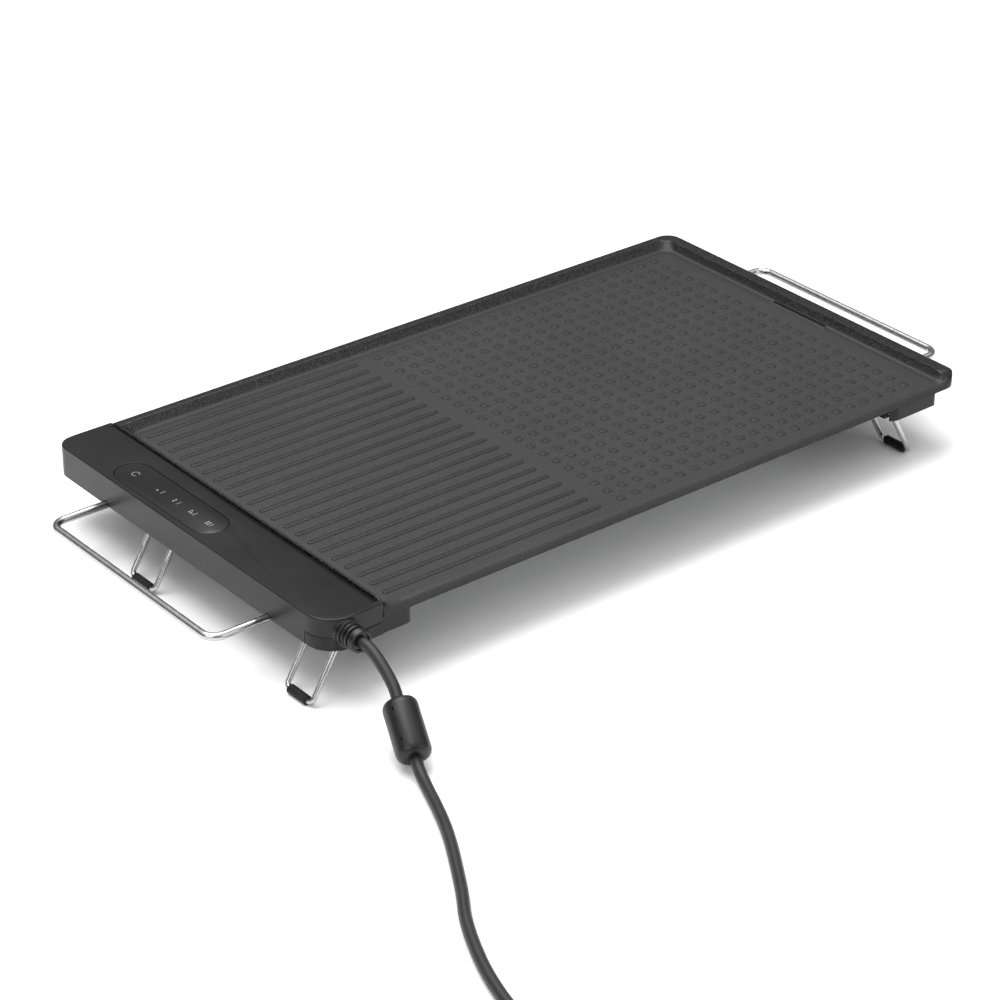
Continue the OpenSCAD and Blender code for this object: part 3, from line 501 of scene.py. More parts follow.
def final_mesh(made):
    """What an object's modifiers make of it, as a new mesh. The modifiers are removed."""
    bpy.context.view_layer.update()
    data = bpy.data.meshes.new_from_object(made.evaluated_get(bpy.context.evaluated_depsgraph_get()))
    made.modifiers.clear()
    return data


def softened(node, name, material, width, segments=2, angle=30, picked=None):
    """A CAD node's own shape with its edges rounded: all of them, or picked(x, y, z) millimetres wide."""
    data = frame["nodes"][node].data.copy()
    b = bmesh.new()
    b.from_mesh(data)
    bmesh.ops.remove_doubles(b, verts=b.verts, dist=2e-6)
    bmesh.ops.dissolve_limit(b, angle_limit=math.radians(0.5), verts=b.verts, edges=b.edges)
    weights = b.edges.layers.float.new("bevel_weight_edge")
    for edge in b.edges:
        if len(edge.link_faces) == 2 and edge.calc_face_angle(0.0) > math.radians(angle):
            wide = min(picked(*(v.co * 1000)) for v in edge.verts) if picked else width
            edge[weights] = wide / width
    b.to_mesh(data)
    b.free()
    made = placed(name, data)
    bodies = frame["record"]["behaviour"]["bodies"]
    body = next(key for key, nodes in bodies.items() if node in nodes)
    dress(made, material, body, 40)
    bevel = made.modifiers.new("soft edges", "BEVEL")
    bevel.width, bevel.segments, bevel.limit_method = width / 1000, segments, "WEIGHT"
    bevel.use_clamp_overlap = not picked
    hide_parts(node)
    return made


# ---- geometry node trees ----

def new_tree(name, sockets):
    """A tree with named inputs and one output, its graph and the inputs' sockets by name."""
    tree = bpy.data.node_groups.new(name, "GeometryNodeTree")
    for label, kind, value in [("Geometry", "Geometry", None), *sockets]:
        made = tree.interface.new_socket(label, in_out="INPUT", socket_type="NodeSocket" + kind)
        if value is not None:
            made.default_value = value
    tree.interface.new_socket("Geometry", in_out="OUTPUT", socket_type="NodeSocketGeometry")
    graph = Graph(tree)
    inputs = tree.nodes.new("NodeGroupInput")
    return tree, graph, {s.name: Socket(graph, s) for s in inputs.outputs if s.name}


def copied(graph, values, material):
    """Ends a tree: instances on points, made real and painted."""
    copies = graph.node("GeometryNodeInstanceOnPoints", None, values)
    real = graph.node("GeometryNodeRealizeInstances", None, {0: copies})
    painted = graph.node("GeometryNodeSetMaterial", None, {"Geometry": real, "Material": material})
    out = graph.tree.nodes.new("NodeGroupOutput")
    graph.tree.links.new(painted.link, out.inputs[0])


def field_tree():
    """Copies the host's mesh over a grid."""
    tree, g, sock = new_tree("copies on a grid", [
        ("Columns", "Int", 21), ("Rows", "Int", 21), ("Pitch", "Float", 0.012),
        ("First", "Vector", (0, 0, 0)), ("Finish", "Material", None)])

    def run(which):
        return (sock[which] - 1.0) * sock["Pitch"]

    grid = g.node("GeometryNodeMeshGrid", None,
                  {0: run("Columns").most(1e-6), 1: run("Rows").most(1e-6),
                   2: sock["Columns"], 3: sock["Rows"]})
    half = g.node("ShaderNodeCombineXYZ", None, {0: run("Columns") * 0.5, 1: run("Rows") * 0.5})
    at = g.node("ShaderNodeVectorMath", {"operation": "ADD"}, {0: half, 1: sock["First"]})
    points = g.node("GeometryNodeSetPosition", None, {"Geometry": grid, "Offset": at})
    copied(g, {"Points": points, "Instance": sock["Geometry"]}, sock["Finish"])
    return tree


def scatter_tree():
    """Copies a template object onto the host's points."""
    tree, g, sock = new_tree("copies on points", [
        ("Template", "Object", None), ("Size", "Float", 1.0), ("Finish", "Material", None)])
    template = g.node("GeometryNodeObjectInfo", None, {"Object": sock["Template"]}, out="Geometry")
    size = g.node("ShaderNodeCombineXYZ", None, {0: sock["Size"], 1: sock["Size"], 2: sock["Size"]})
    copied(g, {"Points": sock["Geometry"], "Instance": template, "Scale": size}, sock["Finish"])
    return tree


def grown(host, tree, name, values):
    """Runs a tree on a host with its inputs set, gives the mesh object and removes the host."""
    modifier = host.modifiers.new(name, "NODES")
    modifier.node_group = tree
    for item in tree.interface.items_tree:
        if item.in_out == "INPUT" and item.name in values:
            modifier[item.identifier] = values[item.name]
    host.update_tag()
    data = final_mesh(host)
    data.name = name
    bpy.data.objects.remove(host)
    return placed(name, data)


def carved(made, cutter):
    """Cuts the cutter's shape out of a piece and removes the cutter."""
    face_outward(cutter.data)
    cut = made.modifiers.new("cut", "BOOLEAN")
    cut.operation, cut.object, cut.solver = "DIFFERENCE", cutter, "EXACT"
    made.data = final_mesh(made)
    bpy.data.objects.remove(cutter)


def pan_screw(diameter, length):
    """A pan-head screw that points up, with a cross recess in its head."""
    r, h = 0.95 * diameter, 0.6 * diameter
    profile = [(0, r * 0.5), (0.1 * h, r * 0.76), (0.32 * h, r * 0.93), (0.65 * h, r), (h, r),
               (h, 0.5 * diameter), (length - 0.2 * diameter, 0.5 * diameter), (length, 0.32 * diameter)]
    made = bare("screw", *turned(profile, Vector((0, 0, 0)), Vector((0, 0, 1)), 24))
    corners = ((-1, -1), (1, -1), (1, 1), (-1, 1))
    for a, b in ((0.55, 0.11), (0.11, 0.55)):
        rings = [[Vector((sx * r * (a - narrower), sy * r * (b - narrower), z)) for sx, sy in corners]
                 for narrower, z in ((0, -0.0004), (0.02, 0.55 * h))]
        carved(made, bare("arm", *stacked(rings)))
    return made


def loose_parts(data):
    """Low and high corner of the box of each separate part of a mesh."""
    b = bmesh.new()
    b.from_mesh(data)
    bmesh.ops.remove_doubles(b, verts=b.verts, dist=2e-6)
    b.verts.index_update()
    seen, boxes = set(), []
    for first in b.verts:
        if first.index in seen:
            continue
        seen.add(first.index)
        front, part = [first], []
        while front:
            v = front.pop()
            part.append(v.co.copy())
            for other in (e.other_vert(v) for e in v.link_edges):
                if other.index not in seen:
                    seen.add(other.index)
                    front.append(other)
        boxes.append([[pick(c[i] for c in part) for i in range(3)] for pick in (min, max)])
    b.free()
    return boxes


def screws(node, material, diameter):
    """A screw with a recess at each of a CAD node's screws."""
    boxes = loose_parts(frame["nodes"][node].data)
    spots = [Vector(((low[0] + high[0]) / 2, (low[1] + high[1]) / 2, low[2])) for low, high in boxes]
    spots.sort(key=lambda p: tuple(round(c, 5) for c in p))
    low, high = boxes[-1]
    template = pan_screw(diameter / 1000, high[2] - low[2])
    made = grown(bare(node, spots, []), scatter_tree(), node + "_cross",
                 {"Template": template, "Size": 1.0, "Finish": material})
    bpy.data.objects.remove(template)
    dress(made, material, crease=40)
    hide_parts(node)


# ---- what a user would change ----

class GriddleLook(bpy.types.PropertyGroup):
    plate_dark: bpy.props.FloatVectorProperty(
        name="Plate, dark", description="Darker tone of the cooking plate's coating",
        subtype="COLOR", default=(0.034, 0.0343, 0.0352))
    plate_light: bpy.props.FloatVectorProperty(
        name="Plate, light", description="Lighter tone of the cooking plate's coating",
        subtype="COLOR", default=(0.039, 0.0394, 0.0404))
    cover_dark: bpy.props.FloatVectorProperty(
        name="Cover, dark", description="Darker tone of the housing's plastic",
        subtype="COLOR", default=(0.0065, 0.0065, 0.007))
    cover_light: bpy.props.FloatVectorProperty(
        name="Cover, light", description="Lighter tone of the housing's plastic",
        subtype="COLOR", default=(0.011, 0.011, 0.0115))
    stud_side: bpy.props.FloatProperty(
        name="Stud side", description="Side of one raised stud", default=0.0055, unit="LENGTH")
    stud_height: bpy.props.FloatProperty(
        name="Stud height", description="Height of a stud above the surface", default=0.00075, unit="LENGTH")
    rib_width: bpy.props.FloatProperty(
        name="Rib width", description="Width of one rib", default=0.0038, unit="LENGTH")
    rib_height: bpy.props.FloatProperty(
        name="Rib height", description="Height of a rib above the surface", default=0.0009, unit="LENGTH")
    pitch: bpy.props.FloatProperty(
        name="Pitch", description="Distance between neighbouring studs and ribs", default=0.01205,
        unit="LENGTH")
    count: bpy.props.IntProperty(
        name="Count", description="Number of ribs, and of studs each way", default=21, min=2)
    edge: bpy.props.FloatProperty(
        name="Cover edge", description="Rounding of the top cover's upper edge", default=0.00095,
        unit="LENGTH")


class GriddleLead(bpy.types.PropertyGroup):
    diameter: bpy.props.FloatProperty(
        name="Diameter", description="Diameter of the mains lead", default=0.007, unit="LENGTH")


class GriddleStage(bpy.types.PropertyGroup):
    lens: bpy.props.FloatProperty(
        name="Lens", description="Camera's focal length in millimetres", default=111.97)
    exposure: bpy.props.FloatProperty(
        name="Light", description="Strength of all lamps", default=0.88, min=0.0)


def look():
    """What the user set for shapes and colours."""
    return bpy.context.scene.griddle_look


# ---- operators ----

FLOOR_REACH = 6000
SKY_LOW, SKY_HIGH = 0.26, 1.35  # brightness of the surroundings near the horizon and overhead
LAMPS = (  # name, place, what it points at, size, watts
    ("overhead", (-0.1, 0.35, 1.7), (0, 0, 0), (1.8, 1.2), 37),
    ("left", (-1.7, -0.6, 0.9), (-0.2, 0, 0.03), (1.2, 0.9), 9),
    ("front", (0.6, -1.9, 0.8), (0, 0, 0.03), (1.4, 0.8), 7),
)
CAMERA_ANGLES = (-39.31, 29.04, 0.37)  # round the table, above it, tilt
CAMERA_AIM = mm(-86.29, -88.27, TOP)
CAMERA_AWAY = 1.84984


class GRIDDLE_OT_stage(bpy.types.Operator):
    """Floor, lamps and camera"""
    bl_idname = "griddle.stage"
    bl_label = "Stage"

    def execute(self, context):
        settings = context.scene.griddle_stage
        corners = [mm(x * FLOOR_REACH, y * FLOOR_REACH, 0) for x, y in ((-1, -1), (1, -1), (1, 1), (-1, 1))]
        floor = bare("floor", corners, [[0, 1, 2, 3]])
        floor.data.materials.append(floor_paper())
        world = bpy.data.worlds.new("studio")
        context.scene.world = world
        world.use_nodes = True
        g = Graph(world.node_tree)
        height = g.node("SeparateXYZ", None, {0: g.node("TexCoord")}, out=2)
        sky = g.mix(height.ease(0.42, 0.85), (SKY_LOW,) * 3, (SKY_HIGH,) * 3)
        background = world.node_tree.nodes["Background"].inputs
        world.node_tree.links.new(sky.link, background["Color"])
        background["Strength"].default_value = settings.exposure
        for name, at, target, size, power in LAMPS:
            lamp = bpy.data.lights.new(name, "AREA")
            lamp.shape, lamp.size, lamp.size_y = "RECTANGLE", *size
            lamp.energy = power * settings.exposure
            made = placed(name, lamp)
            made.location = at
            made.rotation_euler = (Vector(target) - Vector(at)).to_track_quat("-Z", "Y").to_euler()
        turn, rise, roll = (math.radians(v) for v in CAMERA_ANGLES)
        back = Vector((math.sin(turn) * math.cos(rise), -math.cos(turn) * math.cos(rise), math.sin(rise)))
        right = (-back).cross(Vector((0, 0, 1))).normalized()
        up = right.cross(-back)
        across = math.cos(roll) * right + math.sin(roll) * up
        upward = -math.sin(roll) * right + math.cos(roll) * up
        place = CAMERA_AIM + back * CAMERA_AWAY
        data = bpy.data.cameras.new("camera")
        data.lens, data.sensor_width = settings.lens, 36
        data.clip_start, data.clip_end = 0.05, 60
        rows = [(*row, at) for row, at in zip(zip(across, upward, back), place)]
        context.scene.camera = placed("camera", data)
        context.scene.camera.matrix_world = Matrix([*rows, (0, 0, 0, 1)])
        context.scene.view_settings.view_transform = "Standard"
        return {"FINISHED"}


# The lead's way from the housing to its stored coil, and from the coil to the plug
ROUTE = [mm(*p) for p in (
    (-237.5, -140, 43), (-237.5, -153, 43), (-237.5, -160, 42.4), (-238, -168, 39.8),
    (-239, -176.5, 36), (-240.4, -185, 31.5), (-243.5, -194, 26), (-248.7, -208, 17.7),
    (-254, -222, 9.5), (-257.5, -231, 5.4), (-262, -243, 3.7), (-268, -258, 3.6),
    (-276, -276, 3.6), (-285, -293, 3.6), (-295, -310, 3.6), (-306, -328, 3.6),
    (-318, -346, 3.6), (-328, -365, 3.6), (-337, -386, 3.6), (-344, -408, 3.8),
    (-349, -430, 4.1), (-351.6, -444, 4.3), (-352, -452, 4.3))]
TAIL = [mm(*p) for p in ((-440.5, -452, 10.4), (-441.3, -441, 10.4), (-444, -430, 10.2),
                         (-448.5, -420, 9.9), (-453, -411, 9.8))]
PLUG_ENTRY = TAIL[-1] + mm(-1.8, 3.6, 0)  # a little inside the plug's sleeve
COIL = mm(-398, -452, 0)
# After how many turns the lead is at which radius and height: in along the table, then out on top
COIL_STOPS = [(0.0, 46.0, 4.3), (0.9, 46.0, 4.3), (1.1, 39.0, 4.3), (1.9, 39.0, 4.3), (2.1, 32.0, 4.3),
              (2.9, 32.0, 4.3), (3.12, 35.5, 10.3), (3.9, 35.5, 10.3), (4.1, 42.5, 10.36), (4.5, 42.5, 10.36)]
COIL_STEPS = 40  # points in one turn

# The gland along its axis from the housing outwards, as (distance, radius)
GLAND_AT = mm(-237.5, FRONT, 43)
GLAND = [(-2, 3.55), (-2, 5.7), (0, 5.7), (0, 8.3), (0.3, 8.65), (1.7, 8.7), (2.1, 8.4), (2.2, 7.6),
         (3.9, 7.55), (4.2, 7.2), (4.25, 6.2), (5.15, 6.2), (5.2, 7.2), (5.5, 7.45), (6.9, 7.35),
         (7.2, 7.1), (7.25, 6.1), (8.35, 6.1), (8.4, 7.0), (8.7, 7.2), (12.2, 7.05), (12.8, 6.7),
         (13, 6.2), (12.9, 5.3), (12.2, 5.1), (11.6, 4.9), (11.5, 3.55)]

# The choke's cover the same way, from its middle
CHOKE_AT = mm(-248.75, -208, 17.75)
CHOKE_WAY = Vector((-10.5, -28, -16.5)).normalized()
CHOKE_END = [(-18, 3.8), (-18, 6.4), (-17.7, 7.6), (-17.0, 8.8), (-15.9, 9.6), (-14.4, 10.1), (-13, 10.25)]
CHOKE = CHOKE_END + [(-d, r) for d, r in reversed(CHOKE_END)]

# The strap round the coil: x in metres, then y and z from and to, and the corners' radius
STRAP = [(-0.4040, -11.5, 12.0, 0.2, 14.46, 1.5), (-0.4038, -11.7, 12.2, 0.0, 14.66, 1.6),
         (-0.3922, -11.7, 12.2, 0.0, 14.66, 1.6), (-0.3920, -11.5, 12.0, 0.2, 14.46, 1.5),
         (-0.3920, -10.9, 11.4, 0.78, 13.96, 0.9), (-0.4040, -10.9, 11.4, 0.78, 13.96, 0.9)]
STRAP_Y = 0.491


def coil_path():
    """Clockwise turns: outwards in, side by side below, then in the hollows above, out to the tail."""
    out = []
    for i in range(int(COIL_STOPS[-1][0] * COIL_STEPS) + 1):
        t = i / COIL_STEPS
        (t0, r0, z0), (t1, r1, z1) = next(
            pair for pair in zip(COIL_STOPS, COIL_STOPS[1:]) if t <= pair[1][0] + 1e-9)
        s = (t - t0) / (t1 - t0)
        s = s * s * (3 - 2 * s)
        r, z = r0 + (r1 - r0) * s, z0 + (z1 - z0) * s
        a = -2 * math.pi * t
        out.append(COIL + mm(r * math.cos(a), r * math.sin(a), z))
    return out


def lead_path():
    """The whole lead, in points at least 2.5 mm apart."""
    path = smooth_path(ROUTE, 4)[:-1] + coil_path()[:-1] + smooth_path(TAIL, 4) + [PLUG_ENTRY]
    even = [path[0]]
    for p in path[1:]:
        if (p - even[-1]).length > 0.0025:
            even.append(p)
    return even


def choke_holes():
    """Two small oval holes in the choke's cover, as one cutter."""
    side = CHOKE_WAY.cross(Vector((0, 0, 1))).normalized()
    facing = side.cross(CHOKE_WAY).normalized()
    bore = (0.64 * side + 0.77 * facing).normalized()
    across = CHOKE_WAY.cross(bore)
    turns = [math.tau * k / 20 for k in range(20)]
    holes = []
    for at in (-0.0105, 0.0085):
        base = CHOKE_AT + CHOKE_WAY * at
        oval = [CHOKE_WAY * (0.0009 * math.cos(a)) + across * (0.0006 * math.sin(a)) for a in turns]
        holes.append(stacked([[base + bore * r + p for p in oval] for r in (0.0091, 0.012)]))
    return bare("choke cutter", *join(holes))


class GRIDDLE_OT_lead(bpy.types.Operator):
    """Mains lead with its stored coil, gland, choke, tie and plug"""
    bl_idname = "griddle.lead"
    bl_label = "Mains lead"

    def execute(self, context):
        d = context.scene.griddle_lead.diameter
        black = plain("black moulding")
        path = lead_path()
        length = sum((b - a).length for a, b in zip(path, path[1:]))
        sheath = piece("mains_lead", *tube(path, d / 2, 16), cord_sheath(), slot="cord_rubber", crease=60)
        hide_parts("power_cord", "cord_coil", "plug_lead")
        gland = piece("gland", *turned_ring(GLAND, GLAND_AT, Vector((0, -1, 0)), 48),
                      black, slot="cord_rubber", outward=True)
        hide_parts("cord_gland")
        choke = piece("choke_cover", *turned_ring(CHOKE, CHOKE_AT, CHOKE_WAY, 64),
                      black, slot="moulded_plastic", outward=True)
        carved(choke, choke_holes())
        dress(choke, black)
        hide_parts("ferrite_choke")
        bands = [[Vector((x, p.x - STRAP_Y, p.y)) for p in rounded_rectangle(y0, y1, z0, z1, (r,) * 4, 0, 5)]
                 for x, y0, y1, z0, z1, r in STRAP]
        tie = piece("coil_strap", *hooped(bands), black, slot="moulded_plastic", outward=True)
        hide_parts("coil_tie")
        plug = softened("plug_body", "plug_moulding", black, 1.2, 3)
        pins = softened("plug_pins", "plug_blades", plain("pin brass"), 0.3)
        return {"FINISHED"}


# Outlines of the plate from its outer edge inwards: right x, back y, left x, height, distance from the
# front. Below them the radii of three of the outlines' corners.
PLATE_RINGS = [
    (253.5, 140, -212.2, 43.5, 0.0), (253.5, 140, -212.2, 50.5, 0.05), (253.2, 139.7, -212.15, 51.6, 0.25),
    (252.5, 139, -212.0, 52.45, 0.6), (251.6, 138.1, -211.8, 52.85, 1.1), (250.8, 137.3, -211.6, 53, 1.8),
    (243.6, 133.6, -210.6, 53, 2.7), (243.0, 133.0, -210.3, 52.85, 3.4), (242.6, 132.5, -210.0, 52.3, 4.2),
    (239.9, 127.4, -207.9, 48.5, 5.2), (239.4, 126.9, -207.5, 48.1, 6.0), (238.7, 126.2, -207.0, 47.85, 7.0),
    (236.0, 123.4, -206.2, 47.85, 8.5), (235.2, 122.6, -205.8, 48.0, 9.8), (228, 116, -200, 48.0, 14)]
FRONT_RIGHT = [11, 11, 10.8, 10.3, 9.6, 9, 7, 6.5, 6, 4, 3.5, 3, 2.5, 2, 1]
BACK_RIGHT = [11, 11, 10.8, 10.3, 9.6, 9, 8.5, 8.3, 8.2, 8, 8, 7.8, 6, 5.5, 3]
BACK_LEFT = [0.2, 0.2, 0.2, 0.3, 0.4, 0.5, 4, 5, 6, 8, 8, 7.8, 6, 5.5, 3]

FRONT_ENDS = 40  # nearer the front than this, heights follow the rims of the two ends
NEAR_FRONT = [0.008, 0.016, 0.024, 0.034, 0.05, 0.2, 0.4, 0.6, 0.8]  # where the ends have extra points
DRAIN = (237.4, 239.8, -32, 18, (1.2,) * 4)
FIRST_ROW = -0.1245  # y of the first studs and ribs
FEATURE_STEPS = (-0.05, 0.45, 0.8, 0.96, 1)  # heights of a stud's and a rib's outlines, the first in mm


def rim_height(value, column):
    """Height of the plate at an x, from one column of the outlines."""
    pairs = sorted({(row[column], row[3]) for row in PLATE_RINGS[1:]})
    if value <= pairs[0][0]:
        return pairs[0][1]
    for (a, za), (b, zb) in zip(pairs, pairs[1:]):
        if value <= b:
            return za + (zb - za) * (value - a) / max(b - a, 1e-6)
    return pairs[-1][1]


def plate_height(x, y, ring_z):
    """Height of the plate, with its ends rolled down at the front."""
    if ring_z <= RIM_FOOT:
        return RIM_FOOT
    s = y - FRONT
    z = rim_height(x, 0 if x > 0 else 2) if s < FRONT_ENDS else ring_z
    r = 6 + max(z - COOKING, 0) / 5 * 3.5
    if s < r:
        z = z - r + math.sqrt(max(r * r - (r - s) ** 2, 0))
    return max(z, RIM_FOOT)


def raised(half_x, half_y, insets, radii, high, steps):
    """A low raised shape with a soft edge, in rings that move in as they rise."""
    first, *shares = FEATURE_STEPS
    heights = [first, *(high * share for share in shares)]
    return stacked([rounded_rectangle(-half_x + g, half_x - g, -half_y + g, half_y - g, (r,) * 4, z, steps)
                    for g, r, z in zip(insets, radii, heights)])


class GRIDDLE_OT_plate(bpy.types.Operator):
    """Cast cooking plate with its ribs, studs and drain"""
    bl_idname = "griddle.plate"
    bl_label = "Cooking plate"

    def execute(self, context):
        settings = look()
        coating, slot = plate_coating(), "coated_aluminium"
        sides = ([0.01, 0.03, 0.5, 0.97, 0.99], NEAR_FRONT, [0.5], [1 - t for t in reversed(NEAR_FRONT)])
        rings = []
        for (x1, y1, x0, z, s), fr, br, bl in zip(PLATE_RINGS, FRONT_RIGHT, BACK_RIGHT, BACK_LEFT):
            ring = rounded_rectangle(x0, x1, FRONT + s, y1, (0.2, fr, br, bl), z, 8, sides)
            rings.append([Vector((p.x, p.y, plate_height(p.x * 1000, p.y * 1000, z) / 1000)) for p in ring])
        made = piece("cooking_plate", *stacked(rings), coating, slot=slot, crease=50, outward=True)
        carved(made, bare("drain cutter", *stacked([rounded_rectangle(*DRAIN, z) for z in (40, 60)])))
        dress(made, coating, crease=38)
        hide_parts("griddle_plate")
        bead = [rounded_rectangle(235.2 - g, 237.2 + g * 0.6, -34 - g, 20 + g, (0.96 + 0.77 * g,) * 4, z)
                for g, z in ((0.6, 47.9), (0.35, 48.35), (0.0, 48.6), (-0.5, 48.7))]
        piece("drain_bead", *stacked(bead), coating, slot=slot, outward=True)

        tree = field_tree()
        half, insets = settings.stud_side * 1000 / 2, (0, 0.15, 0.38, 0.7, 1.05)
        stud = raised(half, half, insets, [max(1.5 - g * 0.6, 0.5) for g in insets],
                      settings.stud_height * 1000, 4)
        studs = grown(bare("stud", *stud), tree, "studs",
                      {"Columns": settings.count, "Rows": settings.count, "Pitch": settings.pitch,
                       "First": (-0.0225, FIRST_ROW, COOKING / 1000), "Finish": coating})
        dress(studs, coating, crease=60)
        wide, insets = settings.rib_width * 500, (0, 0.2, 0.5, 0.9, 1.35)
        rib = raised(81.5, wide, insets, [wide - g - 0.01 for g in insets], settings.rib_height * 1000, 6)
        ribs = grown(bare("rib", *rib), tree, "ribs",
                     {"Columns": 1, "Rows": settings.count, "Pitch": settings.pitch,
                      "First": (-0.120, FIRST_ROW, COOKING / 1000), "Finish": coating})
        dress(ribs, coating, crease=60)
        return {"FINISHED"}


LENS_X, POWER_Y = -237.5, 74  # middle of the lens, and of the power icon on it
INK = 52.885  # height of the printed icons, just proud of the lens
LENS_RINGS = ((0.14, 51.45), (0.14, 52.62), (0.24, 52.8), (0.45, 52.88))  # how far in, at what height
# Vertical corners of the housing's left side: y of the centre, radius, which way is outwards
HOUSING_CORNERS = ((-122, 18, -1), (129, 11, 1))


def on_housing_outline(x, y):
    """Whether a point lies on the housing's outer wall."""
    for cy, r, way in HOUSING_CORNERS:
        if x < LEFT + r and way * (y - cy) > 0:
            return math.hypot(x - LEFT - r, y - cy) > r - 0.05
    return x < LEFT + 0.05 or abs(y) > BACK - 0.05


def bottom_edges(x, y, z):
    """Rounding of the lower cover's edges: none in the thin wall beside the front leg's bay."""
    low = z < UNDER + 0.02
    if low and x < -236 and y < -128:
        return 0.0
    return 0.5 if (low or abs(z - SPLIT) < 0.02) and on_housing_outline(x, y) else 0.0


def patch(x0, y0, x1, y1):
    """A flat rectangle of print on the lens."""
    return [mm(x0, y0, INK), mm(x1, y0, INK), mm(x1, y1, INK), mm(x0, y1, INK)], [[0, 1, 2, 3]]


def lens_icons():
    """An open ring for power, and one to four dots over a bar for the levels."""
    arc = [math.radians(a) for a in range(-60, 241, 12)]
    outer, inner = [[mm(LENS_X + r * math.cos(a), POWER_Y + r * math.sin(a), INK) for a in arc]
                    for r in (2.6, 2.1)]
    n = len(arc)
    marks = [(outer + inner, [[i, i + 1, n + i + 1, n + i] for i in range(n - 1)])]
    for y, dots in ((47, 1), (30, 2), (13, 3), (-4, 4)):
        for k in range(dots):
            x, y0 = -239.2 + (k % 2) * 2.0, y + 1.4 - (k // 2) * 2.0
            marks.append(patch(x, y0, x + 1.3, y0 + 1.3))
        marks.append(patch(-239.4, y - 2.6, -235.6, y - 2.1))
    return join(marks)


class GRIDDLE_OT_housing(bpy.types.Operator):
    """Covers of the control housing, lens and its printed icons"""
    bl_idname = "griddle.housing"
    bl_label = "Control housing"

    def execute(self, context):
        edge = look().edge * 1000

        def top_edges(x, y, z):
            if not on_housing_outline(x, y):
                by_lens = z > TOP - 0.05 and -250 < x < -225 and -16 < y < 88.5
                return 0.25 if by_lens else 0.0
            if z > TOP - 0.05:
                return edge
            return 0.4 if abs(z - SPLIT) < 0.02 or z < UNDER + 0.02 else 0.0

        softened("housing_top_cover", "top_cover", cover_plastic(), edge, 4, 35, top_edges)
        softened("housing_bottom_cover", "bottom_cover", plain("lower plastic"), 0.5, 2, 40,
                 bottom_edges)
        rings = [rounded_rectangle(-249.5 + g, -225.5 - g, -15.5 + g, 88.0 - g, (12 - g,) * 4, z, 16)
                 for g, z in LENS_RINGS]
        glass = piece("lens", *stacked(rings), lens_gloss(), slot="gloss_lens", outward=True)
        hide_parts("touch_lens")
        piece("lens_print", *lens_icons(), plain("pale print"), slot="light_plastic")
        return {"FINISHED"}


LEG_SPLAY = 30
LEG_LENGTH = 33.25 / math.cos(math.radians(LEG_SPLAY))
LEG_HALF = 12.2  # half the distance between a leg's two sides
PIVOT_REACH, PIVOT_Z = 7.75, 36  # how far a leg's bent-in ends reach, and their height
LEGS = (("front_left", -241, -123, -1), ("rear_left", -241, 36, -1),
        ("front_right", 200.5, -120, 1), ("rear_right", 200.5, 36, 1))
HANDLES = (("left", -239, -292.5), ("right", 231, 292.5))  # name, x of the pivots, x of the bar
HANDLE_HALF, HANDLE_Z = 84.5, 32.6  # half a handle's width, and the height of its wire


def leg_corners():
    """Corners of a leg's wire that hangs straight down from its pivot."""
    h, low = LEG_HALF, -LEG_LENGTH
    return [mm(0, -h + PIVOT_REACH, 0), mm(0, -h, 0), mm(0, -h, low),
            mm(0, h, low), mm(0, h, 0), mm(0, h - PIVOT_REACH, 0)]


class GRIDDLE_OT_wires(bpy.types.Operator):
    """Wire handles, wire legs and their rubber sleeves"""
    bl_idname = "griddle.wires"
    bl_label = "Handles and legs"

    def execute(self, context):
        for name, x, y, side in LEGS:
            body = name + "_leg"
            turn = Matrix.Rotation(math.radians(-side * LEG_SPLAY), 3, "Y")
            move = mm(x, y, PIVOT_Z)
            path = bent_wire(leg_corners(), lambda c: 0.0019 if c.z > -0.001 else 0.0035)
            wire = piece("wire_leg_" + name, *tube([turn @ p + move for p in path], 0.00175, 16),
                         wire_steel(), body, "wire_steel", 50)
            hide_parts("leg_" + name)
            ends = [mm(0, -8.7, -LEG_LENGTH), mm(0, 8.7, -LEG_LENGTH)]
            steps = [ends[0].lerp(ends[1], t / 12) for t in range(13)]
            points, faces = tube([turn @ p + move for p in steps], 0.00294, 24, 0.0006)
            flat = [Vector((p.x, p.y, max(p.z, 0.0))) for p in points]
            rubber = piece("sleeve_" + name, flat, faces, plain("black rubber"), body, "black_rubber", 50)
            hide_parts("foot_sleeve_" + name)
        for name, x, bar in HANDLES:
            h, z = HANDLE_HALF, HANDLE_Z
            corners = [mm(x, -72, z), mm(x, -h, z), mm(bar, -h, z), mm(bar, h, z), mm(x, h, z), mm(x, 72, z)]
            path = bent_wire(corners, lambda c: 0.0026 if abs(c.x) < 0.26 else 0.009, 12)
            wire = piece("wire_handle_" + name, *tube(path, 0.0025, 24), wire_steel(), name + "_handle",
                         "wire_steel", 50)
            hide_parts("handle_" + name)
        return {"FINISHED"}


SCREWS = (  # CAD node, finish, slot, diameter
    ("cover_screws", "black screw", "black_screw", 2.6),
    ("housing_mount_screws", "black screw", "black_screw", 3),
    ("bracket_screws", "black screw", "black_screw", 3),
    ("shield_screws", "zinc plate", "zinc_steel", 2.5),
    ("clamp_screws", "zinc plate", "zinc_steel", 2.5),
)


def bracket_edges(x, y, z):
    """Rounding of the bracket: only along its outer lower edges."""
    return 0.6 if z < UNDER + 0.02 and (abs(y) > 136.95 or x > 237.45) else 0.0


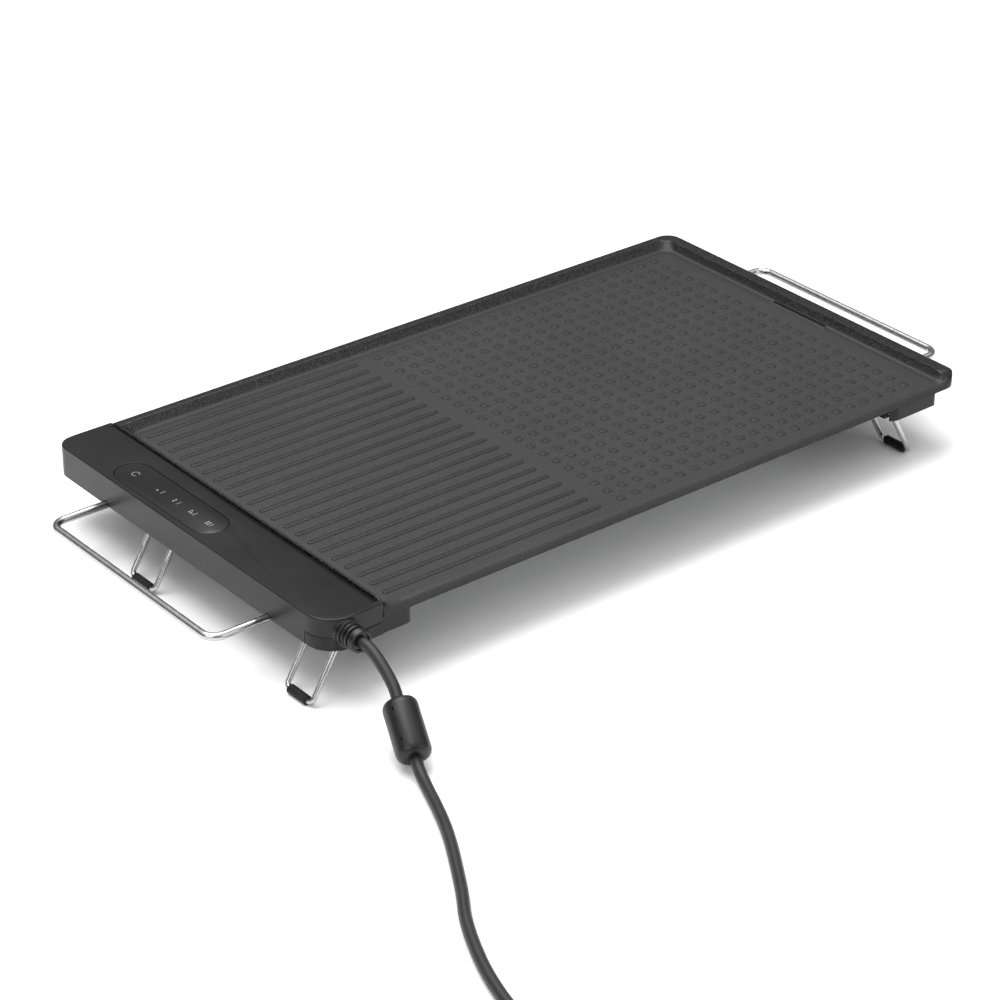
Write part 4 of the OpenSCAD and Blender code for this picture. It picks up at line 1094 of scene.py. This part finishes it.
class GRIDDLE_OT_underside(bpy.types.Operator):
    """End bracket, heat shield, drip tray, its rails and the screws"""
    bl_idname = "griddle.underside"
    bl_label = "Underside"

    def execute(self, context):
        softened("end_bracket", "right_bracket", plain("lower plastic"), 0.6, 3, 40,
                 bracket_edges)
        softened("heat_shield", "shield_pan", plain("aluminised sheet"), 0.25, 2, 40)
        softened("drip_tray", "grease_tray", plain("satin stainless"), 0.3, 2, 40)
        softened("tray_rails", "slide_rails", plain("zinc plate"), 0.15, 1, 40)
        for node, finish_name, slot, diameter in SCREWS:
            screws(node, plain(finish_name), diameter)
        return {"FINISHED"}


INNER_FINISHES = {
    "plate_seal": "black rubber", "touch_springs": "spring steel", "indicator_leds": "pale plastic",
    "touch_cable": "pale plastic", "heater_relay": "relay blue", "supply_capacitor": "capacitor yellow",
    "terminal_block": "terminal green", "board_screws": "zinc plate", "element_pins": "zinc plate",
    "element_insulators": "ceramic", "element_clamps": "zinc plate", "temperature_sensor": "zinc plate",
    "thermal_fuse": "ceramic", "inner_wiring": "wire sleeve", "cord_clamp": "pale plastic",
}


class GRIDDLE_OT_inside(bpy.types.Operator):
    """Finishes of the parts inside the housing and under the plate"""
    bl_idname = "griddle.inside"
    bl_label = "Inner parts"

    def execute(self, context):
        table = {node: plain(name) for node, name in INNER_FINISHES.items()}
        table.update({"touch_board": board_green(), "control_board": board_green(),
                      "heating_element": element_steel(), "cord_inner_end": cord_sheath()})
        for node, material in table.items():
            made = frame["nodes"][node]
            made.data.materials.clear()
            made.data.materials.append(material)
        return {"FINISHED"}


class GRIDDLE_PT_panel(bpy.types.Panel):
    """Sizes, colours and steps of the griddle"""
    bl_label = "Griddle"
    bl_idname = "GRIDDLE_PT_panel"
    bl_space_type = "VIEW_3D"
    bl_region_type = "UI"
    bl_category = "Griddle"

    def draw(self, context):
        for group in (context.scene.griddle_look, context.scene.griddle_lead, context.scene.griddle_stage):
            for name in group.__annotations__:
                self.layout.prop(group, name)
        for step in STEPS:
            self.layout.operator(step.bl_idname)


GROUPS = {"griddle_look": GriddleLook, "griddle_lead": GriddleLead, "griddle_stage": GriddleStage}
STEPS = [GRIDDLE_OT_stage, GRIDDLE_OT_lead, GRIDDLE_OT_plate, GRIDDLE_OT_housing, GRIDDLE_OT_wires,
         GRIDDLE_OT_underside, GRIDDLE_OT_inside]


def register():
    for cls in [*GROUPS.values(), *STEPS, GRIDDLE_PT_panel]:
        bpy.utils.register_class(cls)
    for name, cls in GROUPS.items():
        setattr(bpy.types.Scene, name, bpy.props.PointerProperty(type=cls))


def unregister():
    for name in GROUPS:
        delattr(bpy.types.Scene, name)
    for cls in [GRIDDLE_PT_panel, *reversed(STEPS), *reversed(list(GROUPS.values()))]:
        bpy.utils.unregister_class(cls)


def main():
    register()
    for step in STEPS:
        getattr(bpy.ops.griddle, step.bl_idname.split(".")[1])()


if __name__ == "__main__":
    main()
